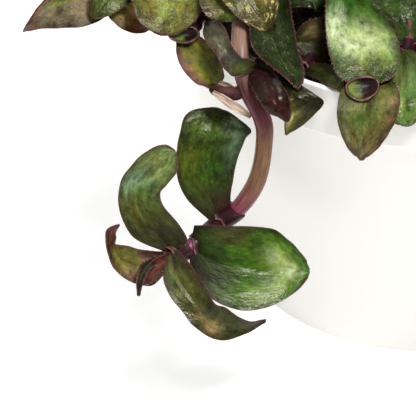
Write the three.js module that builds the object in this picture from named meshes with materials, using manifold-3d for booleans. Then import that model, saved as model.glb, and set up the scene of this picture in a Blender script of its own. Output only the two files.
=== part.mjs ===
// A potted tradescantia: a white plastic pot of soil, and leafy stems that rise from it, arch over
// its rim and hang down. Millimetres, +Z up, origin at the middle of the pot's foot.
import * as THREE from "three";
import { mergeVertices } from "three/addons/utils/BufferGeometryUtils.js";
import Module from "manifold-3d";

const wasm = await Module();
wasm.setup();

// The pot: a tapered wall with a wider band round its mouth
const potHeight = 150;
const mouthRadius = 104.5;
const footRadius = 76;
const potWall = 2.4;
const potFloor = 3;
const bandHeight = 22;
const bandStep = 3;
const edgeRound = 0.8;
const potSides = 32;

// The soil fills the pot up to a finger's width under its mouth
const soilTop = 133;
const soilCrown = 3;
const restGap = 0.3;
const rootDepth = 24;
const holeGap = 0.65;
const uprightAtSoil = 7;
const holeSides = 6;

// The plant
const stemRadius = 3.3;
const stemTaper = 0.3;
const stemSides = 6;
const stemSteps = 10;
const otherSteps = 7;
const bladeThickness = 1.3;
const edgeThinning = 0.42;
const narrowest = 0.45;
const fullest = 1.06;
const rowsCloseToTip = 1.3;

// The stems at the front are laid out on a sheet that leans back, facing someone who looks down
// at the pot by this angle: across to the right, up the sheet, and near, out from it.
const lookDown = (40 * Math.PI) / 180;
const towardViewer = new THREE.Vector3(0, -Math.cos(lookDown), Math.sin(lookDown));

const radians = (degrees) => (degrees * Math.PI) / 180;

function leaned([across, up, near]) {
  const y = up * Math.sin(lookDown) - near * Math.cos(lookDown);
  const z = up * Math.cos(lookDown) + near * Math.sin(lookDown);
  return new THREE.Vector3(across, y, z);
}

// The front leaves are drawn on squared paper on that sheet, counted right and down. It is seen
// from a place in front of its centre, so a square is a little smaller the nearer it lies.
const square = 0.38;
const centreSquare = 208;
const viewDistance = 1500;
const viewCentre = { across: -86.3, up: 8.9, near: 145 };

function drawn([right, down], near) {
  const size = square * (1 - (near - viewCentre.near) / viewDistance);
  const across = viewCentre.across + (right - centreSquare) * size;
  return leaned([across, viewCentre.up - (down - centreSquare) * size, near]);
}

// Solids

function solidOf(geometry) {
  const bare = new THREE.BufferGeometry();
  bare.setAttribute("position", geometry.getAttribute("position").clone());
  if (geometry.index) bare.setIndex(geometry.index.clone());
  const merged = mergeVertices(bare, 1e-4);
  return new wasm.Manifold(
    new wasm.Mesh({
      numProp: 3,
      vertProperties: merged.attributes.position.array,
      triVerts: new Uint32Array(merged.index.array),
    }),
  );
}

function geometryOf(solid) {
  const mesh = solid.getMesh();
  const geometry = new THREE.BufferGeometry();
  geometry.setAttribute("position", new THREE.BufferAttribute(mesh.vertProperties, 3));
  geometry.setIndex(new THREE.BufferAttribute(mesh.triVerts, 1));
  geometry.computeVertexNormals();
  return geometry;
}

// A closed skin over rings of equally many points. The two halves of a ring are the front and the
// back of a blade, and both are split into triangles along the same diagonals.
function skinOver(rings) {
  const count = rings[0].length;
  const half = count / 2;
  const points = rings.flat();
  const faces = [];
  for (let i = 0; i + 1 < rings.length; i++) {
    for (let k = 0; k < count; k++) {
      const a = i * count + k;
      const b = i * count + ((k + 1) % count);
      const c = b + count;
      const d = a + count;
      if (k < half) faces.push([a, b, c], [a, c, d]);
      else faces.push([a, b, d], [b, c, d]);
    }
  }
  const last = (rings.length - 1) * count;
  for (let k = 0; k + 1 < half; k++) {
    const far = count - 1 - k;
    faces.push([k, far, k + 1], [k + 1, far, far - 1]);
    faces.push([last + k, last + k + 1, last + far], [last + k + 1, last + far - 1, last + far]);
  }
  const geometry = new THREE.BufferGeometry();
  const places = points.flatMap((point) => point.toArray());
  geometry.setAttribute("position", new THREE.Float32BufferAttribute(places, 3));
  geometry.setIndex(faces.flat());
  return geometry;
}

function turned(profile) {
  const outline = profile.map(([radius, height]) => new THREE.Vector2(radius, height));
  return solidOf(new THREE.LatheGeometry(outline, potSides).rotateX(Math.PI / 2));
}

// Pot and soil

const bandFoot = potHeight - bandHeight;
const wallTop = mouthRadius - bandStep;
const insideMouth = mouthRadius - potWall;
const insideWall = wallTop - potWall;
const insideFoot = footRadius - potWall;
const shelf = bandFoot - bandStep / 2;

const pot = turned([
  [0, 0],
  [footRadius - edgeRound, 0],
  [footRadius, edgeRound],
  [wallTop, bandFoot - edgeRound],
  [mouthRadius, bandFoot],
  [mouthRadius, potHeight - edgeRound],
  [mouthRadius - edgeRound, potHeight],
  [insideMouth + edgeRound, potHeight],
  [insideMouth, potHeight - edgeRound],
  [insideMouth, shelf + bandStep],
  [insideWall, shelf],
  [insideFoot, potFloor],
  [0, potFloor],
]);

const soilBody = turned([
  [0, potFloor + restGap],
  [insideFoot - restGap, potFloor + restGap],
  [insideWall - restGap, shelf + restGap],
  [insideMouth - restGap, shelf + bandStep + restGap],
  [insideMouth - restGap, soilTop - soilCrown / 2],
  [insideMouth * 0.6, soilTop + soilCrown * 0.7],
  [0, soilTop + soilCrown],
]);

// Stems

function stemFrames(points, steps) {
  const curve = new THREE.CatmullRomCurve3(points, false, "catmullrom", 0.5);
  const frames = [];
  let side = new THREE.Vector3(1, 0, 0);
  for (let i = 0; i <= steps; i++) {
    const t = i / steps;
    const along = curve.getTangent(t);
    side = side.addScaledVector(along, -side.dot(along)).normalize();
    frames.push({ t, at: curve.getPoint(t), along, side: side.clone(), over: along.clone().cross(side) });
  }
  return frames;
}

const stemThickness = (stem, t) => stem.radius * (1 - stem.taper * t);

function stemSolid(stem) {
  const rings = stemFrames(stem.points, stem.steps).map((frame) =>
    Array.from({ length: stemSides }, (_, k) => {
      const angle = (2 * Math.PI * k) / stemSides;
      const radius = stemThickness(stem, frame.t);
      return frame.at
        .clone()
        .addScaledVector(frame.side, radius * Math.cos(angle))
        .addScaledVector(frame.over, radius * Math.sin(angle));
    }),
  );
  return solidOf(skinOver(rings));
}

// Leaves: a blade along a rib, wide where the profile says, with its edges lifted or let down

function bladeProfile(leaf, t) {
  const peak = leaf.round / (leaf.round + leaf.point);
  const top = peak ** leaf.round * (1 - peak) ** leaf.point;
  return (t ** leaf.round * (1 - t) ** leaf.point) / top + leaf.neck * (1 - t) ** 3;
}

function bladeRings(leaf, thickness) {
  const rib = new THREE.CubicBezierCurve3(...leaf.rib);
  const rings = [];
  for (let i = 0; i <= leaf.rows; i++) {
    const t = 1 - (1 - i / leaf.rows) ** rowsCloseToTip;
    const at = rib.getPoint(t);
    const along = rib.getTangent(t);
    const face = leaf.facing.clone().addScaledVector(along, -leaf.facing.dot(along)).normalize();
    face.applyAxisAngle(along, radians(leaf.roll + leaf.twist * t));
    const side = along.clone().cross(face);
    const half = Math.max((leaf.width / 2) * Math.min(bladeProfile(leaf, t), fullest), narrowest);
    const front = [];
    const back = [];
    for (let j = 0; j <= leaf.strips; j++) {
      const u = (2 * j) / leaf.strips - 1;
      const ripple = leaf.wave * half * Math.sin(2 * Math.PI * leaf.waves * t + leaf.phase) * u * Math.abs(u);
      const lift = leaf.cup * half * u * u + ripple;
      const deep = (thickness / 2) * (1 - edgeThinning * u * u);
      const reach = half * (u + leaf.lop * (u * u - 0.5));
      const point = at.clone().addScaledVector(side, reach).addScaledVector(face, lift);
      front.push(point.clone().addScaledVector(face, deep));
      back.unshift(point.clone().addScaledVector(face, -deep));
    }
    rings.push([...front, ...back]);
  }
  return rings;
}

// A drawn leaf is a skin over its three lines: left margin, rib and right margin.
function drawnPoint(leaf, t, u) {
  const [left, rib, right] = leaf.lines.map((line) => line.getPoint(Math.min(Math.max(t, 0), 1)));
  const bow = left.clone().add(right).multiplyScalar(0.5).sub(rib);
  return rib.addScaledVector(bow, u * u).addScaledVector(right.sub(left), u / 2);
}

const tiny = 1e-3;

function drawnFace(leaf, t, u) {
  const across = drawnPoint(leaf, t, u + tiny).sub(drawnPoint(leaf, t, u - tiny));
  const along = drawnPoint(leaf, t + tiny, u).sub(drawnPoint(leaf, t - tiny, u));
  return across.cross(along).normalize();
}

function drawnRings(leaf) {
  const rings = [];
  for (let i = 0; i <= leaf.rows; i++) {
    const front = [];
    const back = [];
    for (let j = 0; j <= leaf.strips; j++) {
      const u = (2 * j) / leaf.strips - 1;
      const t = i / leaf.rows;
      const point = drawnPoint(leaf, t, u);
      const face = drawnFace(leaf, t, u);
      const deep = (bladeThickness / 2) * (1 - edgeThinning * u * u);
      front.push(point.clone().addScaledVector(face, deep));
      back.unshift(point.clone().addScaledVector(face, -deep));
    }
    rings.push([...front, ...back]);
  }
  return rings;
}

function bladeSolid(leaf, thickness = bladeThickness) {
  return solidOf(skinOver(leaf.lines ? drawnRings(leaf) : bladeRings(leaf, thickness)));
}

// The usual leaf: an oval with a short point, a little cupped, its margin waved
const usualLeaf = {
  facing: towardViewer,
  roll: 0,
  twist: 0,
  cup: 0.16,
  wave: 0.07,
  waves: 1.6,
  phase: 0.6,
  round: 0.4,
  point: 0.6,
  neck: 0.34,
  lop: 0,
  rows: 5,
  strips: 4,
};

// A front leaf's rib runs through four places on the leaned sheet.
const frontLeaf = (rib, width, change = {}) => ({ ...usualLeaf, rib: rib.map(leaned), width, ...change });

// A drawn leaf's rows run from its foot to its tip: left, rib and right on the squared paper, and
// how near the rib lies. Its margins lie nearer than its rib by the two lifts.
function drawnLeaf(rows, lifts = [1.5, 1.5]) {
  const forward = [lifts[0], 0, lifts[1]];
  const lines = forward.map((lift, side) => {
    const places = rows.map((row, i) => {
      const last = i === rows.length - 1;
      return drawn(row[side], row[3] + (last ? 0 : lift));
    });
    return new THREE.CatmullRomCurve3(places, false, "catmullrom", 0.5);
  });
  return { lines, rows: rows.length - 1, strips: 4 };
}

// A front stem stands in the soil at its root and then runs on through places on the leaned sheet.
function frontStem(name, root, path, change, leaves) {
  const low = new THREE.Vector3(root[0], root[1], soilTop - rootDepth);
  const surface = low.clone().setZ(soilTop);
  const above = low.clone().setZ(soilTop + uprightAtSoil);
  const points = [low, surface, above, ...path.map(leaned)];
  return { name, points, radius: stemRadius, taper: stemTaper, steps: stemSteps, ...change, leaves };
}

const frontStems = [
  frontStem(
    "leafy_stem_hanging",
    [-50, -26],
    [
      [-60, 92, 132],
      [-72, 87, 147],
      [-74, 69, 158],
      [-72, 55, 159],
      [-66, 43, 157.5],
      [-65, 34.5, 154],
      [-67.5, 20, 146],
      [-74.5, 9, 140],
      [-83.5, 2.5, 137],
      [-92, -5.5, 138],
      [-100, -9.5, 142],
    ],
    { radius: 3.5, taper: 0.06, steps: 22 },
    [
      // the leaf that stands up beside the stem, its tip folded back
      drawnLeaf([
        [[211, 222], [221, 218], [231, 211], 139],
        [[189, 202], [211, 199], [231, 193], 142],
        [[178, 180], [206, 179], [234, 176], 144],
        [[177, 156], [206, 157], [238, 157], 146],
        [[180, 133], [209, 136], [245, 139], 147],
        [[187, 114], [214, 119], [251, 131], 146],
        [[203, 109], [221, 111], [243, 123], 144.5],
        [[222, 114], [225, 114], [229, 116], 141],
      ]),
      // the broad bright leaf to the right
      drawnLeaf([
        [[194, 225], [192, 244], [190, 262], 137],
        [[209, 225], [205, 257], [199, 285], 139],
        [[230, 226], [228, 265], [216, 301], 140.5],
        [[253, 227], [252, 268], [239, 310], 141],
        [[273, 229], [273, 270], [264, 308], 140.5],
        [[288, 240], [288, 271], [284, 300], 139],
        [[299, 250], [299, 272], [298, 290], 137],
        [[306.5, 261], [306.5, 272], [306.5, 280], 135.5],
        [[309, 268], [309.5, 272], [309, 275], 135],
      ], [2.5, 2.5]),
      // the leaf that winds up to the left
      drawnLeaf([
        [[162, 250], [171, 251], [180, 251], 143],
        [[139, 241], [163, 240], [187, 241], 144],
        [[124, 224], [150, 226], [179, 225], 146],
        [[118.5, 203], [138, 206], [164, 207], 147],
        [[121, 182], [138, 188], [160, 194], 148],
        [[132, 164], [149, 172], [166, 185], 149],
        [[149, 150], [162, 160], [176, 173], 150],
        [[164, 145], [170, 151], [177.5, 160], 150],
        [[173, 149], [174.5, 150.5], [176, 152.5], 150],
      ], [1, 3]),
      // the lower leaf, curling away to a fine point
      drawnLeaf([
        [[177, 250], [170, 252], [163, 257], 144],
        [[188, 262], [175, 270], [163, 277], 147],
        [[199, 277], [184, 287], [169, 294], 149],
        [[208, 292], [196, 302], [181, 310], 150],
        [[215, 304], [206, 315], [192, 324], 150],
        [[226, 308], [218, 324], [207, 336], 149],
        [[238, 317], [234, 329], [226, 340.5], 147],
        [[251, 322], [250, 327], [247, 334], 144],
        [[265, 319], [265.5, 320.5], [265, 322.5], 141],
      ], [2.5, 0.5]),
      // the small leaf to the left with a curled tip
      drawnLeaf([
        [[170, 266], [171, 257], [172, 250], 141.5],
        [[155, 284], [156, 266], [157, 252], 143],
        [[140, 284], [140, 267], [140, 249], 144],
        [[127, 280], [127, 263], [127, 246.5], 145],
        [[114, 268], [116, 256], [118, 244.5], 146],
        [[108.5, 254], [111, 249], [115, 244], 147],
        [[106, 241], [110, 240], [115.5, 239], 147.5],
        [[107, 230], [110.5, 231], [116, 232], 147],
        [[118, 224], [119, 224.5], [119.5, 226], 145],
      ]),
      // the youngest leaves, still folded
      drawnLeaf([
        [[162, 262], [160, 259], [160, 255], 144],
        [[155, 266], [151, 263], [149, 259], 148],
        [[148, 273], [144, 270], [140, 266], 151],
        [[143, 284], [140, 283], [136.5, 280], 152],
        [[140, 295], [138.5, 296], [137.5, 295], 152],
      ], [0.5, 0.5]),
      drawnLeaf([
        [[170, 252], [170, 260], [169, 268], 143],
        [[160, 256], [160, 266], [161, 277], 146],
        [[151, 262], [152, 272], [153, 282], 147],
        [[146, 274], [147, 279], [149, 284], 147],
        [[143.5, 283], [144, 284.5], [145, 285.5], 146],
      ]),
      // at the rim: the leaf that wraps the stem, the one seen from its purple back, and a stub
      drawnLeaf([
        [[250, 73], [254, 68], [258, 63], 160.5],
        [[236, 76.5], [242, 67], [249, 58.5], 163.5],
        [[225.5, 70], [233, 61], [240, 57], 166],
        [[217, 55], [225, 49], [232, 46], 167],
        [[207, 44], [216, 36], [226, 31], 162.5],
        [[203.5, 33], [211, 27], [219, 21], 156],
        [[205, 22], [207.5, 21], [210, 19.5], 151],
      ]),
      drawnLeaf([
        [[258, 66], [249, 68], [244, 75], 159],
        [[270, 71], [261, 77], [251, 85], 167],
        [[278, 80], [268, 88], [256, 95], 173],
        [[286, 92], [275, 99], [262, 104], 177],
        [[290, 105], [281, 109], [270, 113], 177],
        [[290, 117], [285, 118], [279, 117], 176],
        [[288.5, 121], [287.5, 122], [286, 121.5], 175],
      ], [-2, -2]),
      frontLeaf([[-73, 53, 158], [-77, 51, 161], [-81, 52.5, 161], [-85.5, 53.5, 159]], 5, {
        roll: 180,
        point: 0.4,
        rows: 4,
      }),
      // the dark leaf that hangs over the rim like a kite
      drawnLeaf([
        [[252, 67], [255, 62], [258, 57], 159.5],
        [[265, 78], [271, 69], [277, 61], 162.5],
        [[272, 92], [282, 81], [290, 78], 165.5],
        [[279, 104], [296, 94], [313, 93], 169.5],
        [[283, 113], [301, 103.5], [324, 102], 169.5],
        [[285, 121], [298, 114], [316, 113], 168],
        [[285, 128], [293, 124.5], [302, 126], 165.5],
        [[285, 133], [286, 134.5], [287.5, 134.3], 163.5],
      ], [0.5, 0.5]),
    ],
  ),
  frontStem(
    "leafy_stem_left",
    [-78, 5],
    [
      [-84, 108, 122],
      [-96, 109, 130],
      [-108, 102, 134],
      [-120, 92.5, 138],
      [-124.5, 88, 140],
    ],
    { steps: 10 },
    [
      // the leaf that points far out to the left, two behind it, and the large glossy one
      drawnLeaf([
        [[113, 2], [112, -6], [111, -14], 139.5],
        [[104, 18], [98, -6], [96, -30], 142],
        [[88, 25.5], [82, -4], [78, -30], 143.5],
        [[70, 27.8], [64, 2], [60, -18], 144],
        [[52, 28.3], [48, 9], [46, -1], 143.5],
        [[38, 29.3], [37, 16], [37, 9], 142.5],
        [[28, 30.8], [28.5, 24.5], [29.5, 20.5], 141],
        [[23, 31.8], [23, 31], [23.5, 29], 140],
      ]),
      frontLeaf([[-113, 98, 136], [-119.5, 94, 145], [-125.5, 88, 149], [-130, 81, 148]], 14),
      frontLeaf([[-120, 93, 138], [-119.5, 86, 142], [-116, 82, 143], [-108.5, 77.3, 139]], 14, {
        point: 0.5,
      }),
      frontLeaf([[-100, 107, 132], [-100, 97, 144], [-102, 85, 155], [-104.5, 74.3, 157]], 29, {
        point: 0.45,
      }),
    ],
  ),
  frontStem(
    "leafy_stem_olive",
    [-64, -12],
    [
      [-76, 98, 127],
      [-87, 90, 138],
      [-91, 79, 147],
      [-97, 73.5, 151],
    ],
    {},
    [
      // the leaf that hangs with its foot curled
      drawnLeaf([
        [[192, 31], [184, 36], [176, 40], 151],
        [[203, 39], [190, 47], [176.5, 53], 153],
        [[213, 50], [198, 58], [181, 66], 154],
        [[220, 61], [205, 69], [189, 77], 153.5],
        [[223.5, 73], [212, 79], [200, 85], 152.5],
        [[222.5, 82], [217, 85], [211, 88.5], 151],
        [[219.5, 88], [218.5, 88.5], [217, 89], 150],
      ]),
    ],
  ),
  frontStem(
    "leafy_stem_flecked",
    [-36, -30],
    [
      [-48, 100, 133],
      [-62, 109, 140],
      [-76, 111, 145],
      [-84, 109, 147],
    ],
    {},
    [
      // the two flecked leaves side by side, and the long dark one beneath
      frontLeaf([[-78, 110, 145], [-77, 103, 158], [-69, 89, 163], [-64, 75.4, 161]], 24),
      drawnLeaf([
        [[222, -50], [226, -53], [231, -52], 147],
        [[207, -35], [225, -38], [246, -36], 149],
        [[200, -15], [226, -18], [252, -16], 153],
        [[200, 3], [228, 2], [255, 1], 157],
        [[206, 15], [229, 12], [253, 11.5], 159],
        [[216, 20], [229, 18], [242, 16], 158.5],
        [[226, 21], [230, 20.5], [234, 19], 157.5],
      ]),
      drawnLeaf([
        [[278, -54], [272, -53], [266, -54], 141],
        [[286, -30], [272, -28], [258, -30], 148],
        [[289, -4], [270, -2], [251, -4], 154],
        [[293, 22], [270, 24], [250, 24], 159],
        [[297.5, 46], [276, 48], [252, 46], 163.3],
        [[303, 65], [285, 66], [266, 62], 166.5],
        [[304, 79], [295, 80], [286, 78], 169.5],
        [[299.5, 88], [298, 89], [296.5, 88], 171.5],
      ], [1.5, 3]),
    ],
  ),
  frontStem(
    "leafy_stem_low",
    [-30, -42],
    [
      [-37, 88, 136],
      [-42, 76, 141],
      [-46, 68, 146.5],
      [-50, 61.5, 154],
    ],
    {},
    [
      // three leaves in the shade, the last one just inside the rim
      frontLeaf([[-37, 88, 137], [-43, 95, 141], [-50, 94, 142], [-57, 86, 140]], 16),
      drawnLeaf([
        [[334, 56], [335, 38], [334, 20], 146],
        [[322, 65], [322, 42], [322, 18], 149],
        [[310, 62], [309, 42], [309, 20], 150.5],
        [[301, 53], [299, 42], [299, 29], 150.5],
        [[296, 46], [295, 41], [295, 36], 150],
      ]),
      drawnLeaf([
        [[303.5, 74], [306, 69], [310, 63], 155],
        [[314, 78], [319, 71], [326, 64], 161.5],
        [[326, 84.5], [332, 77], [339, 70], 168.5],
        [[337, 90.5], [340, 85], [344, 79], 172.5],
        [[343, 93.5], [344, 91.5], [345, 89], 174],
      ], [0.5, 0.5]),
    ],
  ),
  frontStem(
    "leafy_stem_bright",
    [-16, -28],
    [
      [-20, 104, 136],
      [-13, 91, 144.5],
      [-10, 74, 154],
      [-15, 63.5, 162.5],
      [-25, 58.5, 167.5],
    ],
    { steps: 10 },
    [
      // the large bright leaf, the one that hangs under it, and two to their right
      drawnLeaf([
        [[386, -36], [382, -43], [378, -50], 138],
        [[371, -18], [361, -26], [345, -38], 147],
        [[370, 0], [353, -6], [328, -14], 154],
        [[385, 18], [352, 14], [325.5, 12], 161],
        [[397, 38], [356, 37], [326.5, 38], 169.5],
        [[400, 58], [361, 56], [331, 60], 175],
        [[395, 74], [365, 71], [338, 75], 177.5],
        [[384, 81.5], [366, 79], [348, 82], 178.5],
        [[371, 84], [366, 84.5], [361, 84.5], 178.8],
      ]),
      drawnLeaf([
        [[388, 75], [371, 77], [354, 80], 168.5],
        [[398, 88], [368, 92], [341, 92], 179],
        [[399.5, 105], [365, 110], [337, 110], 182],
        [[394, 124], [363, 128], [339, 128], 181],
        [[384, 141], [361.5, 143], [345, 143], 179],
        [[373, 153.5], [361, 153.5], [353, 154], 176.5],
        [[363, 159], [361.5, 160], [360, 159], 175],
      ]),
      drawnLeaf([
        [[397, 57], [404, 52], [412, 50], 163],
        [[388, 70], [408, 64], [432, 62], 169],
        [[382, 90], [409, 84], [440, 80], 174.5],
        [[383, 106], [409, 102], [441, 96], 178],
        [[388, 118], [409, 114], [434, 108], 178.5],
        [[397, 124], [409, 122], [424, 116], 178],
        [[405, 125.5], [409, 125], [413, 123.5], 177.5],
      ]),
      drawnLeaf([
        [[372, -52], [385, -54], [398, -52], 140],
        [[366, -28], [392, -32], [420, -32], 144],
        [[363, -8], [396, -10], [432, -12], 148],
        [[367, 8], [400, 8], [436, 6], 151],
        [[377, 24], [404, 24], [434, 22], 153.5],
        [[389, 37], [408, 36], [426, 33], 156],
        [[402, 44], [409, 44], [416, 42], 158],
        [[408, 47], [410, 47.5], [412, 46.5], 159],
      ]),
    ],
  ),
];

// The other stems rise from the soil, arch outwards and hang: azimuth, where the root stands, how
// far out the tip reaches, how high the stem's crest is over the soil and how far its tip hangs.
const otherStems = [
  { azimuth: -66, root: 60, reach: 128, crest: 44, hang: 62, leaves: 7 },
  { azimuth: -38, root: 62, reach: 134, crest: 40, hang: 36, leaves: 7 },
  { azimuth: -10, root: 60, reach: 130, crest: 46, hang: 74, leaves: 8 },
  { azimuth: 18, root: 62, reach: 136, crest: 40, hang: 30, leaves: 7 },
  { azimuth: 46, root: 60, reach: 130, crest: 46, hang: 60, leaves: 7 },
  { azimuth: 76, root: 62, reach: 136, crest: 42, hang: 28, leaves: 7 },
  { azimuth: 106, root: 60, reach: 130, crest: 46, hang: 70, leaves: 8 },
  { azimuth: 134, root: 62, reach: 136, crest: 40, hang: 34, leaves: 7 },
  { azimuth: 160, root: 62, reach: 128, crest: 50, hang: 50, leaves: 7 },
  { azimuth: -52, root: 28, reach: 66, crest: 66, hang: 10, leaves: 6 },
  { azimuth: 28, root: 30, reach: 74, crest: 70, hang: 12, leaves: 6 },
  { azimuth: 100, root: 30, reach: 72, crest: 68, hang: 12, leaves: 6 },
  { azimuth: 172, root: 32, reach: 70, crest: 64, hang: 8, leaves: 6 },
  { azimuth: -20, root: 10, reach: 34, crest: 80, hang: 4, leaves: 5 },
  { azimuth: 140, root: 12, reach: 36, crest: 78, hang: 4, leaves: 5 },
  { azimuth: -164, root: 34, reach: 76, crest: 60, hang: 12, leaves: 5 },
  { azimuth: -118, root: 16, reach: 44, crest: 72, hang: 6, leaves: 4 },
];
// How a stem arches: share of its way out, share of its crest's height, and share of its hang
const arch = [
  [0, 0, 0],
  [0.18, 0.74, 0],
  [0.5, 1, 0],
  [0.84, 1, 0.3],
  [1, 1, 1],
];
const firstLeafAt = 0.4;
const lastLeafAt = 0.985;
const leafLength = 50;
const shorterToTip = 0.3;
const facingOut = 0.45;
const ribReach = [0, 0.36, 0.7, 0.88];
const ribSag = 0.04;
const leafSlender = 0.64;
const seedOfPlant = 20;
const bendClear = 2.2;
const leastCrossing = 0.001;

// How a leaf may stand on its stem: opened from it, raised, and drooping, the likeliest first
const bends = [
  { open: 58, rise: 0.3, droop: 0.34 },
  { open: 44, rise: 0.5, droop: 0.28 },
  { open: 72, rise: 0.15, droop: 0.42 },
  { open: 34, rise: 0.75, droop: 0.22 },
  { open: 66, rise: -0.1, droop: 0.5 },
  { open: 26, rise: 1.1, droop: 0.15 },
];

function seededDraws(seed) {
  let state = seed >>> 0;
  return () => {
    state = (state + 0x6d2b79f5) >>> 0;
    let mixed = Math.imul(state ^ (state >>> 15), 1 | state);
    mixed = (mixed + Math.imul(mixed ^ (mixed >>> 7), 61 | mixed)) ^ mixed;
    return ((mixed ^ (mixed >>> 14)) >>> 0) / 4294967296;
  };
}

const draw = seededDraws(seedOfPlant);
const within = (low, high) => low + (high - low) * draw();

function otherStem(plan, index) {
  const swing = within(-9, 9);
  const above = arch.map(([out, up, down], i) => [
    plan.root + (plan.reach - plan.root) * out,
    soilTop + (i === 0 ? uprightAtSoil : plan.crest * up - plan.hang * down),
  ]);
  const profile = [[plan.root, soilTop - rootDepth], [plan.root, soilTop], ...above];
  const points = profile.map(([radius, height], i) => {
    const angle = radians(plan.azimuth + swing * (i / profile.length) ** 2);
    return new THREE.Vector3(radius * Math.cos(angle), radius * Math.sin(angle), height);
  });
  const name = `leafy_stem_${String(index + 1).padStart(2, "0")}`;
  const growth = growthOf(plan, points);
  return { name, points, radius: stemRadius, taper: stemTaper, steps: otherSteps, growth };
}

// Each place where a leaf grows offers the same leaf at every bend.
function growthOf(plan, points) {
  const curve = new THREE.CatmullRomCurve3(points, false, "catmullrom", 0.5);
  const upwards = new THREE.Vector3(0, 0, 1);
  const outwards = new THREE.Vector3(Math.cos(radians(plan.azimuth)), Math.sin(radians(plan.azimuth)), 0);
  const sideways = upwards.clone().cross(outwards);
  const places = [];
  for (let k = 0; k < plan.leaves; k++) {
    const reached = k / (plan.leaves - 1);
    const t = firstLeafAt + (lastLeafAt - firstLeafAt) * reached;
    const hand = k % 2 === 0 ? 1 : -1;
    const length = leafLength * within(0.88, 1.12) * (1 - shorterToTip * reached ** 2);
    const lean = within(-9, 9);
    const change = {
      width: length * leafSlender * within(0.94, 1.08),
      facing: upwards.clone().addScaledVector(outwards, facingOut).normalize(),
      roll: hand * within(-4, 16),
      twist: within(-14, 14),
      cup: within(0.1, 0.3),
      phase: within(0, 6),
      rows: 4,
      strips: 2,
    };
    const base = curve.getPoint(t);
    const along = curve.getTangent(t);
    places.push(
      bends.map((bend) => {
        const open = radians(bend.open + lean);
        const start = along
          .clone()
          .multiplyScalar(Math.cos(open))
          .addScaledVector(sideways, hand * Math.sin(open))
          .addScaledVector(upwards, bend.rise)
          .normalize();
        const sags = [0, 0, ribSag, bend.droop];
        const rib = ribReach.map((reach, i) =>
          base.clone().addScaledVector(start, length * reach).addScaledVector(upwards, -length * sags[i]),
        );
        return { ...usualLeaf, ...change, rib };
      }),
    );
  }
  return places;
}

// Growing: every stem stands in a plain hole in the soil. A leaf that would come near another
// stem, its leaves, the pot or the soil takes its next bend, and is left out when none is clear.
const stems = [...frontStems, ...otherStems.map(otherStem)];

let soil = soilBody;
for (const stem of stems) {
  const foot = stem.points[0];
  const hole = (stemThickness(stem, 0) + holeGap) / Math.cos(Math.PI / holeSides);
  const depth = rootDepth + soilCrown * 2;
  const bore = new THREE.CylinderGeometry(hole, hole, depth, holeSides).rotateX(Math.PI / 2);
  bore.translate(foot.x, foot.y, soilTop - rootDepth - restGap + depth / 2);
  soil = soil.subtract(solidOf(bore));
}

const grown = stems.map((stem) => ({ stem, solid: stemSolid(stem) }));

const apart = (a, b) => {
  const one = a.boundingBox();
  const two = b.boundingBox();
  return [0, 1, 2].some((i) => one.max[i] < two.min[i] || two.max[i] < one.min[i]);
};
const crosses = (a, b) => !apart(a, b) && a.intersect(b).volume() > leastCrossing;

for (const entry of grown) {
  for (const leaf of entry.stem.leaves ?? []) entry.solid = entry.solid.add(bladeSolid(leaf));
}

for (const entry of grown) {
  const others = [pot, soil, ...grown.filter((other) => other !== entry).map((other) => other.solid)];
  const blades = [];
  for (const place of entry.stem.growth ?? []) {
    const leaf = place.find((candidate) => {
      const roomy = bladeSolid(candidate, bladeThickness + bendClear);
      const tight = bladeSolid(candidate);
      return !others.some((other) => crosses(roomy, other)) && !blades.some((blade) => crosses(tight, blade));
    });
    if (leaf) blades.push(bladeSolid(leaf));
  }
  for (const blade of blades) entry.solid = entry.solid.add(blade);
}

// The finished plant

const whitePlastic = new THREE.MeshStandardMaterial({ color: 0xf4f2ee, roughness: 0.45, metalness: 0 });
const darkCompost = new THREE.MeshStandardMaterial({ color: 0x2b2119, roughness: 1, metalness: 0 });
const tradescantiaLeaf = new THREE.MeshStandardMaterial({ color: 0x4c6b34, roughness: 0.42, metalness: 0 });

function piece(name, solid, material) {
  const mesh = new THREE.Mesh(geometryOf(solid), material);
  mesh.name = name;
  return mesh;
}

const plant = new THREE.Group();
plant.name = "potted_tradescantia";
plant.add(piece("pot", pot, whitePlastic));
plant.add(piece("soil", soil, darkCompost));
for (const { stem, solid } of grown) plant.add(piece(stem.name, solid, tradescantiaLeaf));

export default plant;
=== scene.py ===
# A potted tradescantia: a round white plastic pot, dark compost, and thick-leaved stems that rise
# from it, arch over the rim and hang. Metres, +Z up, origin under the middle of the pot.
import math
import random
import bpy
from mathutils import Matrix, Vector, noise
from mathutils.bvhtree import BVHTree


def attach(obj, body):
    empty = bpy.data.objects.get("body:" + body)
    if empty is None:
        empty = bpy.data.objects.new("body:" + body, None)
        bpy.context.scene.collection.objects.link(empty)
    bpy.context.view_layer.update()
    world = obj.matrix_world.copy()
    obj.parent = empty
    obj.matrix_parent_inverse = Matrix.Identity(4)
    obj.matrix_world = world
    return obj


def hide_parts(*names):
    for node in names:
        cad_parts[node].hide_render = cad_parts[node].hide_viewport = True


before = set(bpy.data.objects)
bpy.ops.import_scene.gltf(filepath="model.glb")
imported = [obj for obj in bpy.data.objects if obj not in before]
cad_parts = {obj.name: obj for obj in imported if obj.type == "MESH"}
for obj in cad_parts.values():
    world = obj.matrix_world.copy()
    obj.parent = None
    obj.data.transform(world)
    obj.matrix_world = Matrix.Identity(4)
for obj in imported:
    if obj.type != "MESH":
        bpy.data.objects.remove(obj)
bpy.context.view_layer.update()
bpy.ops.object.select_all(action="DESELECT")
MM = 0.001

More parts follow.
